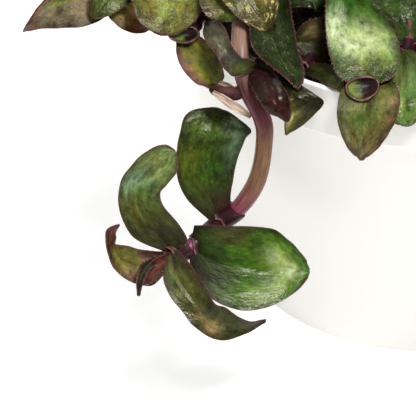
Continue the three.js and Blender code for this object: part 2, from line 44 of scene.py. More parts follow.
# The camera looks down by forty degrees at the front left of the pot's rim, as someone does who
# bends over the plant to look at the shoot that hangs there.
LOOK_DOWN = math.radians(40)
VIEW_BACK = Vector((0, -math.cos(LOOK_DOWN), math.sin(LOOK_DOWN)))
VIEW_UP = Vector((0, math.sin(LOOK_DOWN), math.cos(LOOK_DOWN)))
VIEW_DISTANCE = 1.5
PHOTO_PIXELS = 416
PIXEL_SIZE = 0.38 * MM
AIM_ACROSS, AIM_UP, AIM_NEAR = -86.3, 8.9, 145


def leaned(across, up, near):
    """A place on the sheet that leans back to face the camera, given in millimetres."""
    return MM * (Vector((across, 0, 0)) + up * VIEW_UP + near * VIEW_BACK)


bpy.ops.object.camera_add(location=leaned(AIM_ACROSS, AIM_UP, AIM_NEAR) + VIEW_DISTANCE * VIEW_BACK)
camera = bpy.context.object
camera.name = "camera"
camera.rotation_euler = (math.pi / 2 - LOOK_DOWN, 0, 0)
camera.data.sensor_width = 36
camera.data.lens = camera.data.sensor_width * VIEW_DISTANCE / (PHOTO_PIXELS * PIXEL_SIZE)
camera.data.clip_end = 20
bpy.context.scene.camera = camera

# The floor is a plain white light table: matt white acrylic with an even glow from below. The
# light is one soft box high above the front of the plant, a weaker one high behind it, two broad
# faint ones at the sides, and an even, dim white surround.


def linear(colour):
    """An sRGB hex colour as the linear RGBA that shaders take."""
    channels = [int(colour[i : i + 2], 16) / 255 for i in (1, 3, 5)]
    return [c / 12.92 if c <= 0.04045 else ((c + 0.055) / 1.055) ** 2.4 for c in channels] + [1]


def material(name):
    """A new material, with its node tree and its shader."""
    made = bpy.data.materials.new(name)
    made.use_nodes = True
    return made, made.node_tree, made.node_tree.nodes["Principled BSDF"]


def node(tree, kind, settings=(), links=()):
    """Adds a node: its settings are properties or plain inputs, its links outputs by input."""
    added = tree.nodes.new(kind)
    for name, value in dict(settings).items():
        if isinstance(name, str) and name in added.bl_rna.properties:
            setattr(added, name, value)
        else:
            added.inputs[name].default_value = value
    for name, output in dict(links).items():
        tree.links.new(output, added.inputs[name])
    return added


bpy.ops.mesh.primitive_plane_add(size=6, location=(0, 0, 0))
floor = bpy.context.object
floor.name = "studio_floor"
white_acrylic, _, shader = material("matt white lit acrylic")
shader.inputs["Base Color"].default_value = linear("#d4d4d3")
shader.inputs["Roughness"].default_value = 0.9
shader.inputs["Specular IOR Level"].default_value = 0.1
shader.inputs["Emission Color"].default_value = linear("#ffffff")
shader.inputs["Emission Strength"].default_value = 0.58
floor.data.materials.append(white_acrylic)

surround = bpy.data.worlds.new("white surround")
surround.use_nodes = True
sky = surround.node_tree.nodes["Background"]
sky.inputs["Color"].default_value = linear("#ffffff")
sky.inputs["Strength"].default_value = 0.34
bpy.context.scene.world = surround
bpy.context.scene.view_settings.view_transform = "Standard"
bpy.context.scene.view_settings.look = "None"


PLANT_MIDDLE = Vector((-0.05, -0.06, 0.12))


def soft_box(name, place, size, power):
    """A square area light that faces the plant."""
    turn = (Vector(place) - PLANT_MIDDLE).to_track_quat("Z", "Y").to_euler()
    bpy.ops.object.light_add(type="AREA", location=place, rotation=turn)
    light = bpy.context.object
    light.name = name
    light.data.shape = "SQUARE"
    light.data.size = size
    light.data.energy = power


soft_box("key_soft_box", (0.28, -0.62, 1.5), 0.34, 24.5)
soft_box("back_soft_box", (0.12, 0.72, 1.45), 0.4, 12)
soft_box("left_soft_box", (-1.2, 0.35, 0.9), 1, 3)
soft_box("right_soft_box", (1.2, 0.35, 0.9), 1, 3)
bpy.ops.object.select_all(action="DESELECT")

# The pot is one thin wall of white polypropylene, injection moulded, with a wider band round its
# mouth and rounded edges. The photo shows only its rim, so the rest is a plain taper.
POT_HEIGHT = 150 * MM
MOUTH_RADIUS = 104.5 * MM
FOOT_RADIUS = 76 * MM
POT_WALL = 2.4 * MM
POT_FLOOR = 3 * MM
BAND_HEIGHT = 22 * MM
BAND_STEP = 3 * MM
EDGE_ROUND = 0.8 * MM
POT_SIDES = 144


def raise_ring(height, radius, now):
    """Extrudes the selected ring to a new height and radius and returns where it is."""
    bpy.ops.mesh.extrude_region_move(TRANSFORM_OT_translate={"value": (0, 0, height - now[0])})
    scale = radius / now[1]
    bpy.ops.transform.resize(value=(scale, scale, 1), center_override=(0, 0, height))
    return height, radius


bpy.ops.mesh.primitive_circle_add(vertices=POT_SIDES, radius=FOOT_RADIUS, fill_type="NGON")
pot = bpy.context.object
pot.name = "white_pot"
bpy.ops.object.mode_set(mode="EDIT")
ring = (0, FOOT_RADIUS)
band_foot = POT_HEIGHT - BAND_HEIGHT
wall_top = MOUTH_RADIUS - BAND_STEP
shelf = band_foot - BAND_STEP / 2
for height, radius in [
    (band_foot - EDGE_ROUND, wall_top),
    (band_foot, MOUTH_RADIUS),
    (POT_HEIGHT, MOUTH_RADIUS),
    (POT_HEIGHT, MOUTH_RADIUS - POT_WALL),
    (shelf + BAND_STEP, MOUTH_RADIUS - POT_WALL),
    (shelf, wall_top - POT_WALL),
    (POT_FLOOR, FOOT_RADIUS - POT_WALL),
]:
    ring = raise_ring(height, radius, ring)
bpy.ops.mesh.edge_face_add()
bpy.ops.mesh.select_all(action="SELECT")
bpy.ops.mesh.normals_make_consistent(inside=False)
bpy.ops.object.mode_set(mode="OBJECT")
rounding = pot.modifiers.new("rounding", "BEVEL")
rounding.width = EDGE_ROUND
rounding.segments = 3
rounding.limit_method = "ANGLE"
rounding.angle_limit = math.radians(25)
bpy.ops.object.modifier_apply(modifier="rounding")
bpy.ops.object.shade_smooth_by_angle(angle=math.radians(40))

# Polypropylene with a fine moulded texture, its grains about 0.7 mm wide: soft gloss, and a faint
# unevenness in the highlights.
polypropylene, tree, shader = material("white moulded polypropylene")
shader.inputs["Base Color"].default_value = linear("#f0eee9")
shader.inputs["Roughness"].default_value = 0.38
shader.inputs["IOR"].default_value = 1.49
place = node(tree, "ShaderNodeTexCoord")
grain = node(tree, "ShaderNodeTexNoise", {"Scale": 1400, "Detail": 3}, {"Vector": place.outputs["Object"]})
pebbled = {"Strength": 0.06, "Distance": 0.2 * MM}
skin = node(tree, "ShaderNodeBump", pebbled, {"Height": grain.outputs["Fac"]})
tree.links.new(skin.outputs["Normal"], shader.inputs["Normal"])
pot.data.materials.append(polypropylene)
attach(pot, "root")
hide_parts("pot")
bpy.ops.object.select_all(action="DESELECT")

# The compost is dark peat-free fibre and bark, loosely filled, with crumbs and a few grains of
# perlite on its surface. It stands a finger's width under the rim.
SOIL_TOP = 133 * MM
SOIL_CROWN = 3 * MM
SOIL_EDGE = MOUTH_RADIUS - POT_WALL - 0.4 * MM
SOIL_LOW = SOIL_TOP - 20 * MM
SOIL_FOOT = SOIL_EDGE - 4 * MM
SOIL_SIDES = 96
SWELLS = [(1.6 * MM, 160), (1.1 * MM, 420)]
CRUMBS_SUNK = 0.6 * MM
SOIL_RINGS = [0.96, 0.92, 0.88, 0.84, 0.8, 0.75, 0.7, 0.65, 0.6]
SOIL_RINGS += [0.54, 0.48, 0.42, 0.36, 0.3, 0.24, 0.18, 0.12, 0.06]
crumbs = random.Random(4)

bpy.ops.mesh.primitive_circle_add(
    vertices=SOIL_SIDES, radius=SOIL_FOOT, fill_type="NGON", location=(0, 0, SOIL_LOW)
)
soil = bpy.context.object
soil.name = "compost"
bpy.ops.object.mode_set(mode="EDIT")
ring = (SOIL_LOW, SOIL_FOOT)
ring = raise_ring(SOIL_TOP - 4 * MM, SOIL_EDGE - 0.2 * MM, ring)
ring = raise_ring(SOIL_TOP - 1.5 * MM, SOIL_EDGE - 0.2 * MM, ring)
for share in SOIL_RINGS:
    ring = raise_ring(SOIL_TOP + SOIL_CROWN * (1 - share**2) - MM, SOIL_EDGE * share, ring)
bpy.ops.mesh.edge_face_add()
bpy.ops.mesh.select_all(action="SELECT")
bpy.ops.mesh.normals_make_consistent(inside=False)
bpy.ops.object.mode_set(mode="OBJECT")
for vertex in soil.data.vertices:
    if vertex.co.z > SOIL_TOP - 2 * MM:
        vertex.co.z += sum(high * noise.noise(vertex.co * close) for high, close in SWELLS)
bpy.ops.object.shade_smooth()


def grain_at(spot, size):
    """One crumb, a squashed and turned icosphere."""
    bpy.ops.mesh.primitive_ico_sphere_add(subdivisions=1, radius=size, location=spot)
    made = bpy.context.object
    made.scale = (1, crumbs.uniform(0.5, 1), crumbs.uniform(0.4, 0.8))
    made.rotation_euler = [crumbs.uniform(0, math.tau) for _ in range(3)]
    return made


# How many grains of each there are, and between which radii in millimetres.
for kind, count, sizes in (("bark_crumbs", 240, (0.9, 2.4)), ("perlite_grains", 34, (0.8, 1.5))):
    grains = []
    for _ in range(count):
        radius = SOIL_EDGE * 0.97 * math.sqrt(crumbs.random())
        angle = crumbs.uniform(0, math.tau)
        height = SOIL_TOP + SOIL_CROWN * (1 - (radius / SOIL_EDGE) ** 2) - CRUMBS_SUNK
        spot = (radius * math.cos(angle), radius * math.sin(angle), height)
        grains.append(grain_at(spot, crumbs.uniform(*sizes) * MM))
    bpy.ops.object.select_all(action="DESELECT")
    for made in grains:
        made.select_set(True)
    bpy.context.view_layer.objects.active = grains[0]
    bpy.ops.object.join()
    bpy.ops.object.transform_apply(location=True, rotation=True, scale=True)
    heap = bpy.context.object
    heap.name = kind
    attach(heap, "root")

# Moist compost: fibre and bark in dark browns, quite rough, in lumps of about 4 mm with lighter
# dry flecks. Perlite: puffed volcanic glass, off-white and matt, with pores of about half a
# millimetre.
moist_compost, tree, shader = material("moist peat-free compost")
place = node(tree, "ShaderNodeTexCoord")
coarse = {"Scale": 260, "Detail": 6, "Roughness": 0.7}
lumps = node(tree, "ShaderNodeTexNoise", coarse, {"Vector": place.outputs["Object"]})
browns = node(tree, "ShaderNodeValToRGB", {}, {"Fac": lumps.outputs["Fac"]})
for stop, at, colour in zip(browns.color_ramp.elements, (0.36, 0.74), ("#0f0b08", "#4b3828")):
    stop.position = at
    stop.color = linear(colour)
lumpy = {"Strength": 0.9, "Distance": 1.2 * MM}
crust = node(tree, "ShaderNodeBump", lumpy, {"Height": lumps.outputs["Fac"]})
tree.links.new(browns.outputs["Color"], shader.inputs["Base Color"])
tree.links.new(crust.outputs["Normal"], shader.inputs["Normal"])
shader.inputs["Roughness"].default_value = 0.92
soil.data.materials.append(moist_compost)
bpy.data.objects["bark_crumbs"].data.materials.append(moist_compost)
perlite, tree, shader = material("perlite")
shader.inputs["Base Color"].default_value = linear("#cfcabd")
shader.inputs["Roughness"].default_value = 0.85
place = node(tree, "ShaderNodeTexCoord")
pores = node(tree, "ShaderNodeTexNoise", {"Scale": 1800, "Detail": 4}, {"Vector": place.outputs["Object"]})
porous = {"Strength": 0.6, "Distance": 0.3 * MM}
pitted = node(tree, "ShaderNodeBump", porous, {"Height": pores.outputs["Fac"]})
tree.links.new(pitted.outputs["Normal"], shader.inputs["Normal"])
bpy.data.objects["perlite_grains"].data.materials.append(perlite)
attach(soil, "root")
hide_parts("soil")
bpy.ops.object.select_all(action="DESELECT")

# The stems are fleshy and round, about as thick as a pencil, green flushed brown, pink and purple.
# Each roots in the compost, rises, arches over the rim and hangs from its own weight.
STEM_RADIUS = 3.3
STEM_TAPER = 0.3
ROOT_DEPTH = 24
UPRIGHT_AT_SOIL = 7
SOIL_TOP_MM = SOIL_TOP / MM
STALK_GRID = (24, 12)
END_ROWS = 5
STALK_SWELL, STALK_LUMPS = 0.03, 0.02
WELD = 0.002 * MM
WOODY = ["#41382a", "#41382a", "#4f4230"]


def front_stem(name, root, leaves, path, radius=STEM_RADIUS, taper=STEM_TAPER):
    """A front stem stands at its root and runs on over the leaned sheet, with its tone there."""
    low = Vector((root[0], root[1], SOIL_TOP_MM - ROOT_DEPTH)) * MM
    points = [low, low + Vector((0, 0, ROOT_DEPTH * MM))]
    points.append(points[1] + Vector((0, 0, UPRIGHT_AT_SOIL * MM)))
    points += [leaned(*place[:3]) for place in path]
    tones = WOODY + [place[3] for place in path]
    return dict(name=name, points=points, tones=tones, leaves=leaves, radius=radius * MM, taper=taper)


def stem_point(points, t):
    """A place on the smooth line through a stem's points, from 0 at its foot to 1 at its end."""
    place = min(max(t, 0), 1) * (len(points) - 1)
    k = min(int(place), len(points) - 2)
    w = place - k
    one, two = points[k], points[k + 1]
    before = points[k - 1] if k else 2 * one - two
    after = points[k + 2] if k + 2 < len(points) else 2 * two - one
    leave, arrive = 0.5 * (two - before), 0.5 * (after - one)
    bend = 3 * (two - one) - 2 * leave - arrive
    return one + w * leave + w * w * bend + w**3 * (2 * (one - two) + leave + arrive)


def stem_along(points, t):
    """The direction in which a stem grows at t."""
    return (stem_point(points, t + 1e-4) - stem_point(points, t - 1e-4)).normalized()


def stem_radius(stem, t):
    """The stem's own radius at t."""
    return stem["radius"] * (1 - stem["taper"] * t)


def stem_frames(points, steps):
    """Places along a stem, each with its direction and two directions square to it."""
    frames = []
    side = Vector((1, 0, 0))
    for i in range(steps + 1):
        along = stem_along(points, i / steps)
        side = (side - along * side.dot(along)).normalized()
        frames.append((stem_point(points, i / steps), along, side, along.cross(side)))
    return frames


def blend(one, two, share):
    """A colour between two linear colours."""
    share = min(max(share, 0), 1)
    return [a + (b - a) * share for a, b in zip(one, two)]


def shaped_grid(name, columns, rows, shape):
    """A grid whose every vertex goes where shape(u, s) says, with its tone and its grain."""
    bpy.ops.mesh.primitive_grid_add(x_subdivisions=columns, y_subdivisions=rows, size=2)
    made = bpy.context.object
    made.name = name
    mesh = made.data
    tone = mesh.attributes.new("tone", "FLOAT_COLOR", "POINT")
    grain = mesh.attributes.new("grain", "FLOAT_VECTOR", "POINT")
    for i, vertex in enumerate(mesh.vertices):
        place, colour, lines = shape(vertex.co.x, (vertex.co.y + 1) / 2)
        vertex.co = place
        tone.data[i].color = colour
        grain.data[i].vector = lines
    return made


def close_tube(capped):
    """Joins the two long edges of the grid in hand, and closes its ends or leaves them open."""
    bpy.ops.object.mode_set(mode="EDIT")
    bpy.ops.mesh.select_all(action="SELECT")
    bpy.ops.mesh.remove_doubles(threshold=WELD)
    if capped:
        bpy.ops.mesh.fill_holes(sides=0)
    bpy.ops.mesh.normals_make_consistent(inside=False)
    bpy.ops.object.mode_set(mode="OBJECT")


def joined(parts, name):
    """Several objects as one, smooth but for its sharp edges."""
    bpy.ops.object.select_all(action="DESELECT")
    for part in parts:
        part.select_set(True)
    bpy.context.view_layer.objects.active = parts[0]
    if len(parts) > 1:
        bpy.ops.object.join()
    whole = bpy.context.object
    whole.name = name
    bpy.ops.object.shade_smooth_by_angle(angle=math.radians(50))
    bpy.ops.object.select_all(action="DESELECT")
    return whole


# The front stems, as the photo shows them: where each roots, its leaves, and the way it runs, with
# its tone at each place. A leaf is its rows, or its rib and width, its tones at base, blade and tip,
# spots at (across, along, size in mm, colour, strength), some of them painted sheen, highlight or
# shade, and how it differs from the usual leaf.

# The usual leaf: which way it faces, how it is rolled, twisted, cupped and waved, how round its
# foot is, how blunt its point, how wide its neck, its tones and marks, where it has painted
# highlights, and whether it has a sheath.
USUAL_LEAF = dict(
    facing=VIEW_BACK,
    roll=0,
    twist=0,
    cup=0.16,
    wave=0.07,
    waves=1.6,
    phase=0.6,
    round=0.4,
    point=0.6,
    neck=0.34,
    tones=["#3d3a1e", "#48602c", "#4f6434"],
    spots=[],
    flecks=0,
    bloom=[],
    sheath=True,
)


def front_leaf(rib, width, tones, spots=(), **change):
    """A leaf of a front stem, its rib a curve that four places on the leaned sheet steer."""
    rib = [leaned(*place) for place in rib]
    return {**USUAL_LEAF, "rib": rib, "width": width * MM, "tones": tones, "spots": spots, **change}


def drawn(right, down, near):
    """A place on squared paper that lies on the sheet, counted in squares of a photo pixel."""
    size = PIXEL_SIZE / MM * (1 - (near - AIM_NEAR) * MM / VIEW_DISTANCE)
    half = PHOTO_PIXELS / 2
    return leaned(AIM_ACROSS + (right - half) * size, AIM_UP - (down - half) * size, near)


def drawn_leaf(rows, tones, spots=(), lifts=(1.5, 1.5), **change):
    """A leaf drawn by its rows from foot to tip.

    A row has the place on the paper of its left edge, its rib and its right edge, and how near
    the rib is. The edges are lifted nearer, all but at the tip.
    """
    lines = []
    for side, lift in ((0, lifts[0]), (2, 0), (4, lifts[1])):
        lines.append([drawn(row[side], row[side + 1], row[6] + lift) for row in rows[:-1]])
        lines[-1].append(drawn(*rows[-1][side : side + 2], rows[-1][6]))
    width = max((right - left).length for left, right in zip(lines[0], lines[2]))
    return {**USUAL_LEAF, "lines": lines, "width": width, "tones": tones, "spots": spots, **change}


hanging_leaves = [
    # the leaf that stands up beside the stem, its tip folded back
    drawn_leaf(
        [(211, 222, 221, 218, 231, 211, 139), (189, 202, 211, 199, 231, 193, 142),
         (178, 180, 206, 179, 234, 176, 144), (177, 156, 206, 157, 238, 157, 146),
         (180, 133, 209, 136, 245, 139, 147), (187, 114, 214, 119, 251, 131, 146),
         (203, 109, 221, 111, 243, 123, 144.5), (222, 114, 225, 114, 229, 116, 141)],
        ["#291e11", "#364e14", "#333e24"],
        [(-0.7, 0.4, 5, "#66702a", 0.5), (0.5, 0.04, 8, "#301016", 0.9), (0.0, 0.72, 5, "#2c3a16", 0.6),
         # the bluish-grey spots down the right side are a painted sheen
         (0.85, 0.36, 3, "#485c60", 0.8), (0.85, 0.48, 4, "#587480", 0.85),
         (0.85, 0.6, 4.5, "#607f8a", 0.9), (0.8, 0.72, 4.5, "#5a7884", 0.85),
         # these dark spots in a line are painted shade in a fold that the blade does not have
         (0.42, 0.3, 2.5, "#0e1606", 0.75), (0.44, 0.42, 2, "#16220c", 0.75),
         (0.46, 0.54, 2, "#16240c", 0.75), (0.46, 0.66, 2, "#1c2a12", 0.7), (0.42, 0.77, 2, "#1c2814", 0.6),
         (0.1, 0.9, 6, "#3c3a36", 0.6), (-0.1, 0.6, 5, "#4c7624", 0.6), (0.1, 0.36, 4, "#2c5418", 0.6)],
    ),
    # the broad bright leaf to the right
    drawn_leaf(
        [(194, 225, 192, 244, 190, 262, 140), (209, 225, 205, 257, 199, 285, 141.5),
         (230, 226, 228, 265, 216, 301, 142), (253, 227, 252, 268, 239, 310, 141.5),
         (273, 229, 273, 270, 264, 308, 140.5), (288, 240, 288, 271, 284, 300, 139),
         (299, 250, 299, 272, 298, 290, 137), (306.5, 261, 306.5, 272, 306.5, 280, 135.5),
         (309, 268, 309.5, 272, 309, 275, 135)],
        ["#1d1707", "#365f19", "#4a782d"],
        # the two pale spots first in this list are painted highlight, as are the whitish patches listed
        # below
        [(-0.3, 0.58, 6, "#a3bd74", 0.6), (0.35, 0.6, 6, "#8fae6c", 0.6), (0.6, 0.4, 6, "#5f8a40", 0.5),
         (-0.9, 0.25, 6, "#4a4030", 0.8), (0.5, 0.08, 11, "#120c04", 0.95), (0.0, 0.32, 6, "#2c5418", 0.6)],
        bloom=[(0.0, 0.64, 5, 0.7), (0.4, 0.52, 4, 0.4), (-0.35, 0.5, 3, 0.5), (0.1, 0.8, 3, 0.5)],
        lifts=(2.5, 2.5),
    ),
    # the leaf that winds up to the left
    drawn_leaf(
        [(162, 250, 171, 251, 180, 251, 143), (139, 241, 163, 240, 187, 241, 144),
         (124, 224, 150, 226, 179, 225, 146), (118.5, 203, 138, 206, 164, 207, 147),
         (121, 182, 138, 188, 160, 194, 148), (132, 164, 149, 172, 166, 185, 149),
         (149, 150, 162, 160, 176, 173, 150), (164, 145, 170, 151, 177.5, 160, 150),
         (173, 149, 174.5, 150.5, 176, 152.5, 150)],
        ["#2a231a", "#515f39", "#7d917e"],
        # the bluish-grey spots are a painted sheen, and the pale grey-green spots toward the tip a painted
        # highlight
        [(-0.45, 0.52, 6, "#6a8694", 0.8), (0.3, 0.54, 5, "#5f7c7c", 0.55), (0.5, 0.28, 6, "#3f4a2c", 0.7),
         (-0.6, 0.28, 5, "#26290f", 0.6), (0.3, 0.2, 7, "#1c1a0e", 0.85), (-0.2, 0.36, 4, "#6c6a34", 0.5),
         (0.3, 0.62, 4, "#8a9a86", 0.5), (0.5, 0.75, 5, "#8fa87a", 0.6), (0.0, 0.12, 5, "#2e2c1a", 0.7),
         (0.2, 0.45, 5, "#4f6e34", 0.6)],
        lifts=(1, 3),
    ),
    # the lower leaf, curling away to a fine point
    drawn_leaf(
        [(177, 250, 170, 252, 163, 257, 144), (188, 262, 175, 270, 163, 277, 147),
         (199, 277, 184, 287, 169, 294, 149), (208, 292, 196, 302, 181, 310, 150),
         (215, 304, 206, 315, 192, 324, 150), (226, 308, 218, 324, 207, 336, 149),
         (238, 317, 234, 329, 226, 340.5, 147), (251, 322, 250, 327, 247, 334, 144),
         (265, 319, 265.5, 320.5, 265, 322.5, 141)],
        ["#484436", "#494e39", "#2a2e0d"],
        [(0.45, 0.63, 3.5, "#b89c7c", 0.75), (-0.5, 0.3, 6, "#4e5236", 0.6), (0.3, 0.2, 5, "#6d7a44", 0.6),
         (-0.2, 0.75, 6, "#2c3c18", 0.8), (0.6, 0.5, 4, "#7c7058", 0.5)],
        lifts=(2.5, 0.5),
    ),
    # the small leaf to the left with a curled tip
    drawn_leaf(
        [(170, 266, 171, 257, 172, 250, 141.5), (155, 284, 156, 266, 157, 252, 143),
         (140, 284, 140, 267, 140, 249, 144), (127, 280, 127, 263, 127, 246.5, 145),
         (114, 268, 116, 256, 118, 244.5, 146), (108.5, 254, 111, 249, 115, 244, 147),
         (106, 241, 110, 240, 115.5, 239, 147.5), (107, 230, 110.5, 231, 116, 232, 147),
         (118, 224, 119, 224.5, 119.5, 226, 145)],
        ["#5c2d3b", "#6e6e32", "#663b44"],
        [(-0.8, 0.3, 4, "#8a4652", 0.7), (0.8, 0.2, 4, "#7c4a56", 0.7), (0.3, 0.45, 5, "#7c8246", 0.6),
         (0.0, 0.85, 4, "#74464e", 0.8)],
    ),
    # the youngest leaves, still folded
    drawn_leaf(
        [(162, 262, 160, 259, 160, 255, 144), (155, 266, 151, 263, 149, 259, 148),
         (148, 273, 144, 270, 140, 266, 151), (143, 284, 140, 283, 136.5, 280, 152),
         (140, 295, 138.5, 296, 137.5, 295, 152)],
        ["#3f1d26", "#2a2514", "#271e16"],
        lifts=(0.5, 0.5), sheath=False,
    ),
    drawn_leaf(
        [(170, 252, 170, 260, 169, 268, 143), (160, 256, 160, 266, 161, 277, 146),
         (151, 262, 152, 272, 153, 282, 147), (146, 274, 147, 279, 149, 284, 147),
         (143.5, 283, 144, 284.5, 145, 285.5, 146)],
        ["#5a2a2c", "#64302e", "#4d2224"],
        sheath=False,
    ),
    # at the rim: the leaf that wraps the stem, the one seen from its purple back, and a stub
    drawn_leaf(
        [(250, 73, 254, 68, 258, 63, 160.5), (236, 76.5, 242, 67, 249, 58.5, 163.5),
         (225.5, 70, 233, 61, 240, 57, 166), (217, 55, 225, 49, 232, 46, 167),
         (207, 44, 216, 36, 226, 31, 162.5), (203.5, 33, 211, 27, 219, 21, 156),
         (205, 22, 207.5, 21, 210, 19.5, 151)],
        ["#414a27", "#53514c", "#504b48"],
        [(0.0, 0.2, 4, "#5c7038", 0.7), (0.5, 0.6, 4, "#70746c", 0.5)],
        sheath=False,
    ),
    drawn_leaf(
        [(258, 66, 249, 68, 244, 75, 159), (270, 71, 261, 77, 251, 85, 167),
         (278, 80, 268, 88, 256, 95, 173), (286, 92, 275, 99, 262, 104, 177),
         (290, 105, 281, 109, 270, 113, 177), (290, 117, 285, 118, 279, 117, 176),
         (288.5, 121, 287.5, 122, 286, 121.5, 175)],
        ["#2b0b13", "#220208", "#3c181e"],
        lifts=(-2, -2), sheath=False,
    ),
    front_leaf(
        [(-73, 53, 158), (-77, 51, 161), (-81, 52.5, 161), (-85.5, 53.5, 159)], 5,
        ["#4e2230", "#5c2836", "#4a2028"],
        roll=180, point=0.4, sheath=False,
    ),
    # the dark leaf that hangs over the rim like a kite
    drawn_leaf(
        [(252, 67, 255, 62, 258, 57, 159.5), (265, 78, 271, 69, 277, 61, 162.5),
         (272, 92, 282, 81, 290, 78, 165.5), (279, 104, 296, 94, 313, 93, 169.5),
         (283, 113, 301, 103.5, 324, 102, 169.5), (285, 121, 298, 114, 316, 113, 168),
         (285, 128, 293, 124.5, 302, 126, 165.5), (285, 133, 286, 134.5, 287.5, 134.3, 163.5)],
        ["#28270e", "#181607", "#57561e"],
        [(-0.8, 0.72, 5, "#d8d078", 0.95), (-0.9, 0.5, 3, "#8a8c40", 0.85), (-0.5, 0.92, 3, "#9a9a4c", 0.8),
         (0.6, 0.55, 8, "#14110a", 0.9), (0.3, 0.8, 4, "#1e2410", 0.8)],
        lifts=(0.5, 0.5), sheath=False,
    ),
]

left_leaves = [
    drawn_leaf(
        [(113, 2, 112, -6, 111, -14, 139.5), (104, 18, 98, -6, 96, -30, 142),
         (88, 25.5, 82, -4, 78, -30, 143.5), (70, 27.8, 64, 2, 60, -18, 144),
         (52, 28.3, 48, 9, 46, -1, 143.5), (38, 29.3, 37, 16, 37, 9, 142.5),
         (28, 30.8, 28.5, 24.5, 29.5, 20.5, 141), (23, 31.8, 23, 31, 23.5, 29, 140)],
        ["#4d3b2b", "#6b6454", "#8b6b68"],
        [(-0.3, 0.6, 7, "#76746a", 0.8), (0.3, 0.45, 5, "#8a9a4a", 0.7), (0.8, 0.7, 5, "#c0a898", 0.6),
         (-0.3, 0.3, 5, "#6f5a44", 0.6)],
    ),
    front_leaf(
        [(-113, 98, 136), (-119.5, 94, 145), (-125.5, 88, 149), (-130, 81, 148)], 14,
        ["#2c3a18", "#35501c", "#4f5a30"],
    ),
    front_leaf(
        [(-120, 93, 138), (-119.5, 86, 142), (-116, 82, 143), (-108.5, 77.3, 139)], 14,
        ["#5e4c34", "#78743e", "#8e5450"],
        [(0.0, 0.3, 5, "#707a3c", 0.7)],
        point=0.5,
    ),
    front_leaf(
        [(-100, 107, 132), (-100, 97, 144), (-102, 85, 155), (-104.5, 74.3, 157)], 29,
        ["#3a3717", "#565829", "#61633a"],
        # the pale first spot is a painted highlight
        [(0.0, 0.68, 6, "#a2b67a", 0.65), (-0.6, 0.5, 6, "#46601e", 0.6), (0.5, 0.4, 6, "#6f8038", 0.5),
         (0.6, 0.86, 4, "#3a2a1a", 0.75), (0.1, 0.96, 4, "#4a3826", 0.6)],
        point=0.45,
    ),
]

olive_leaves = [
    # the leaf that hangs with its foot curled
    drawn_leaf(
        [(192, 31, 184, 36, 176, 40, 151), (203, 39, 190, 47, 176.5, 53, 153),
         (213, 50, 198, 58, 181, 66, 154), (220, 61, 205, 69, 189, 77, 153.5),
         (223.5, 73, 212, 79, 200, 85, 152.5), (222.5, 82, 217, 85, 211, 88.5, 151),
         (219.5, 88, 218.5, 88.5, 217, 89, 150)],
        ["#504420", "#72722e", "#6d6840"],
        [(1.0, 0.28, 2.5, "#9c5c62", 0.8), (1.0, 0.4, 2.5, "#b8727a", 0.85),
         (1.0, 0.52, 2.5, "#c07e88", 0.85), (1.0, 0.64, 2.5, "#b88088", 0.8),
         (0.9, 0.78, 2.5, "#ac7c80", 0.7), (-0.5, 0.5, 5, "#52603a", 0.7), (0.2, 0.62, 4, "#84903c", 0.6),
         (0.0, 0.3, 4, "#5a6a2c", 0.5), (-0.2, 0.8, 4, "#4c5a2c", 0.6)],
    ),
]

flecked_leaves = [
    front_leaf(
        [(-78, 110, 145), (-77, 103, 158), (-69, 89, 163), (-64, 75.4, 161)], 24,
        ["#2c350a", "#3a450e", "#4d451e"],
        [(-0.6, 0.7, 4, "#a8935a", 0.4)],
        flecks=0.8,
    ),
    drawn_leaf(
        [(222, -50, 226, -53, 231, -52, 147), (207, -35, 225, -38, 246, -36, 149),
         (200, -15, 226, -18, 252, -16, 153), (200, 3, 228, 2, 255, 1, 157),
         (206, 15, 229, 12, 253, 11.5, 159), (216, 20, 229, 18, 242, 16, 158.5),
         (226, 21, 230, 20.5, 234, 19, 157.5)],
        ["#363d10", "#46591c", "#4d572c"],
        [(-0.7, 0.6, 5, "#6a5648", 0.6), (0.5, 0.7, 5, "#5c8a3c", 0.6), (0.1, 0.85, 4, "#7c8a60", 0.5)],
        flecks=0.3,
    ),
    drawn_leaf(
        [(278, -54, 272, -53, 266, -54, 141), (286, -30, 272, -28, 258, -30, 148),
         (289, -4, 270, -2, 251, -4, 154), (293, 22, 270, 24, 250, 24, 159),
         (297.5, 46, 276, 48, 252, 46, 163.3), (303, 65, 285, 66, 266, 62, 166.5),
         (304, 79, 295, 80, 286, 78, 169.5), (299.5, 88, 298, 89, 296.5, 88, 171.5)],
        ["#121a07", "#19280a", "#243211"],
        [(0.3, 0.55, 5, "#1e2818", 0.6), (-0.6, 0.8, 4, "#2a4a18", 0.6), (-0.2, 0.6, 5, "#1c3412", 0.5)],
        lifts=(1.5, 3),
    ),
]

low_leaves = [
    # three leaves in the shade, the last one just inside the rim
    front_leaf(
        [(-37, 88, 137), (-43, 95, 141), (-50, 94, 142), (-57, 86, 140)], 16,
        ["#182810", "#1f3a16", "#263c1c"],
    ),
    drawn_leaf(
        [(334, 56, 335, 38, 334, 20, 146), (322, 65, 322, 42, 322, 18, 149),
         (310, 62, 309, 42, 309, 20, 150.5), (301, 53, 299, 42, 299, 29, 150.5),
         (296, 46, 295, 41, 295, 36, 150)],
        ["#1d1c09", "#27310d", "#262e0c"],
        [(0.6, 0.4, 4, "#84765a", 0.7), (-0.6, 0.3, 6, "#3c2a1a", 0.8), (0.5, 0.1, 5, "#4a3c24", 0.6),
         (-0.3, 0.75, 4, "#4a5a20", 0.6)],
    ),
    drawn_leaf(
        [(303.5, 74, 306, 69, 310, 63, 155), (314, 78, 319, 71, 326, 64, 161.5),
         (326, 84.5, 332, 77, 339, 70, 168.5), (337, 90.5, 340, 85, 344, 79, 172.5),
         (343, 93.5, 344, 91.5, 345, 89, 174)],
        ["#2f1714", "#424c16", "#4d5b21"],
        [(-0.5, 0.55, 4, "#66722e", 0.7), (0.6, 0.4, 4, "#2a3012", 0.7)],
        lifts=(0.5, 0.5),
    ),
]

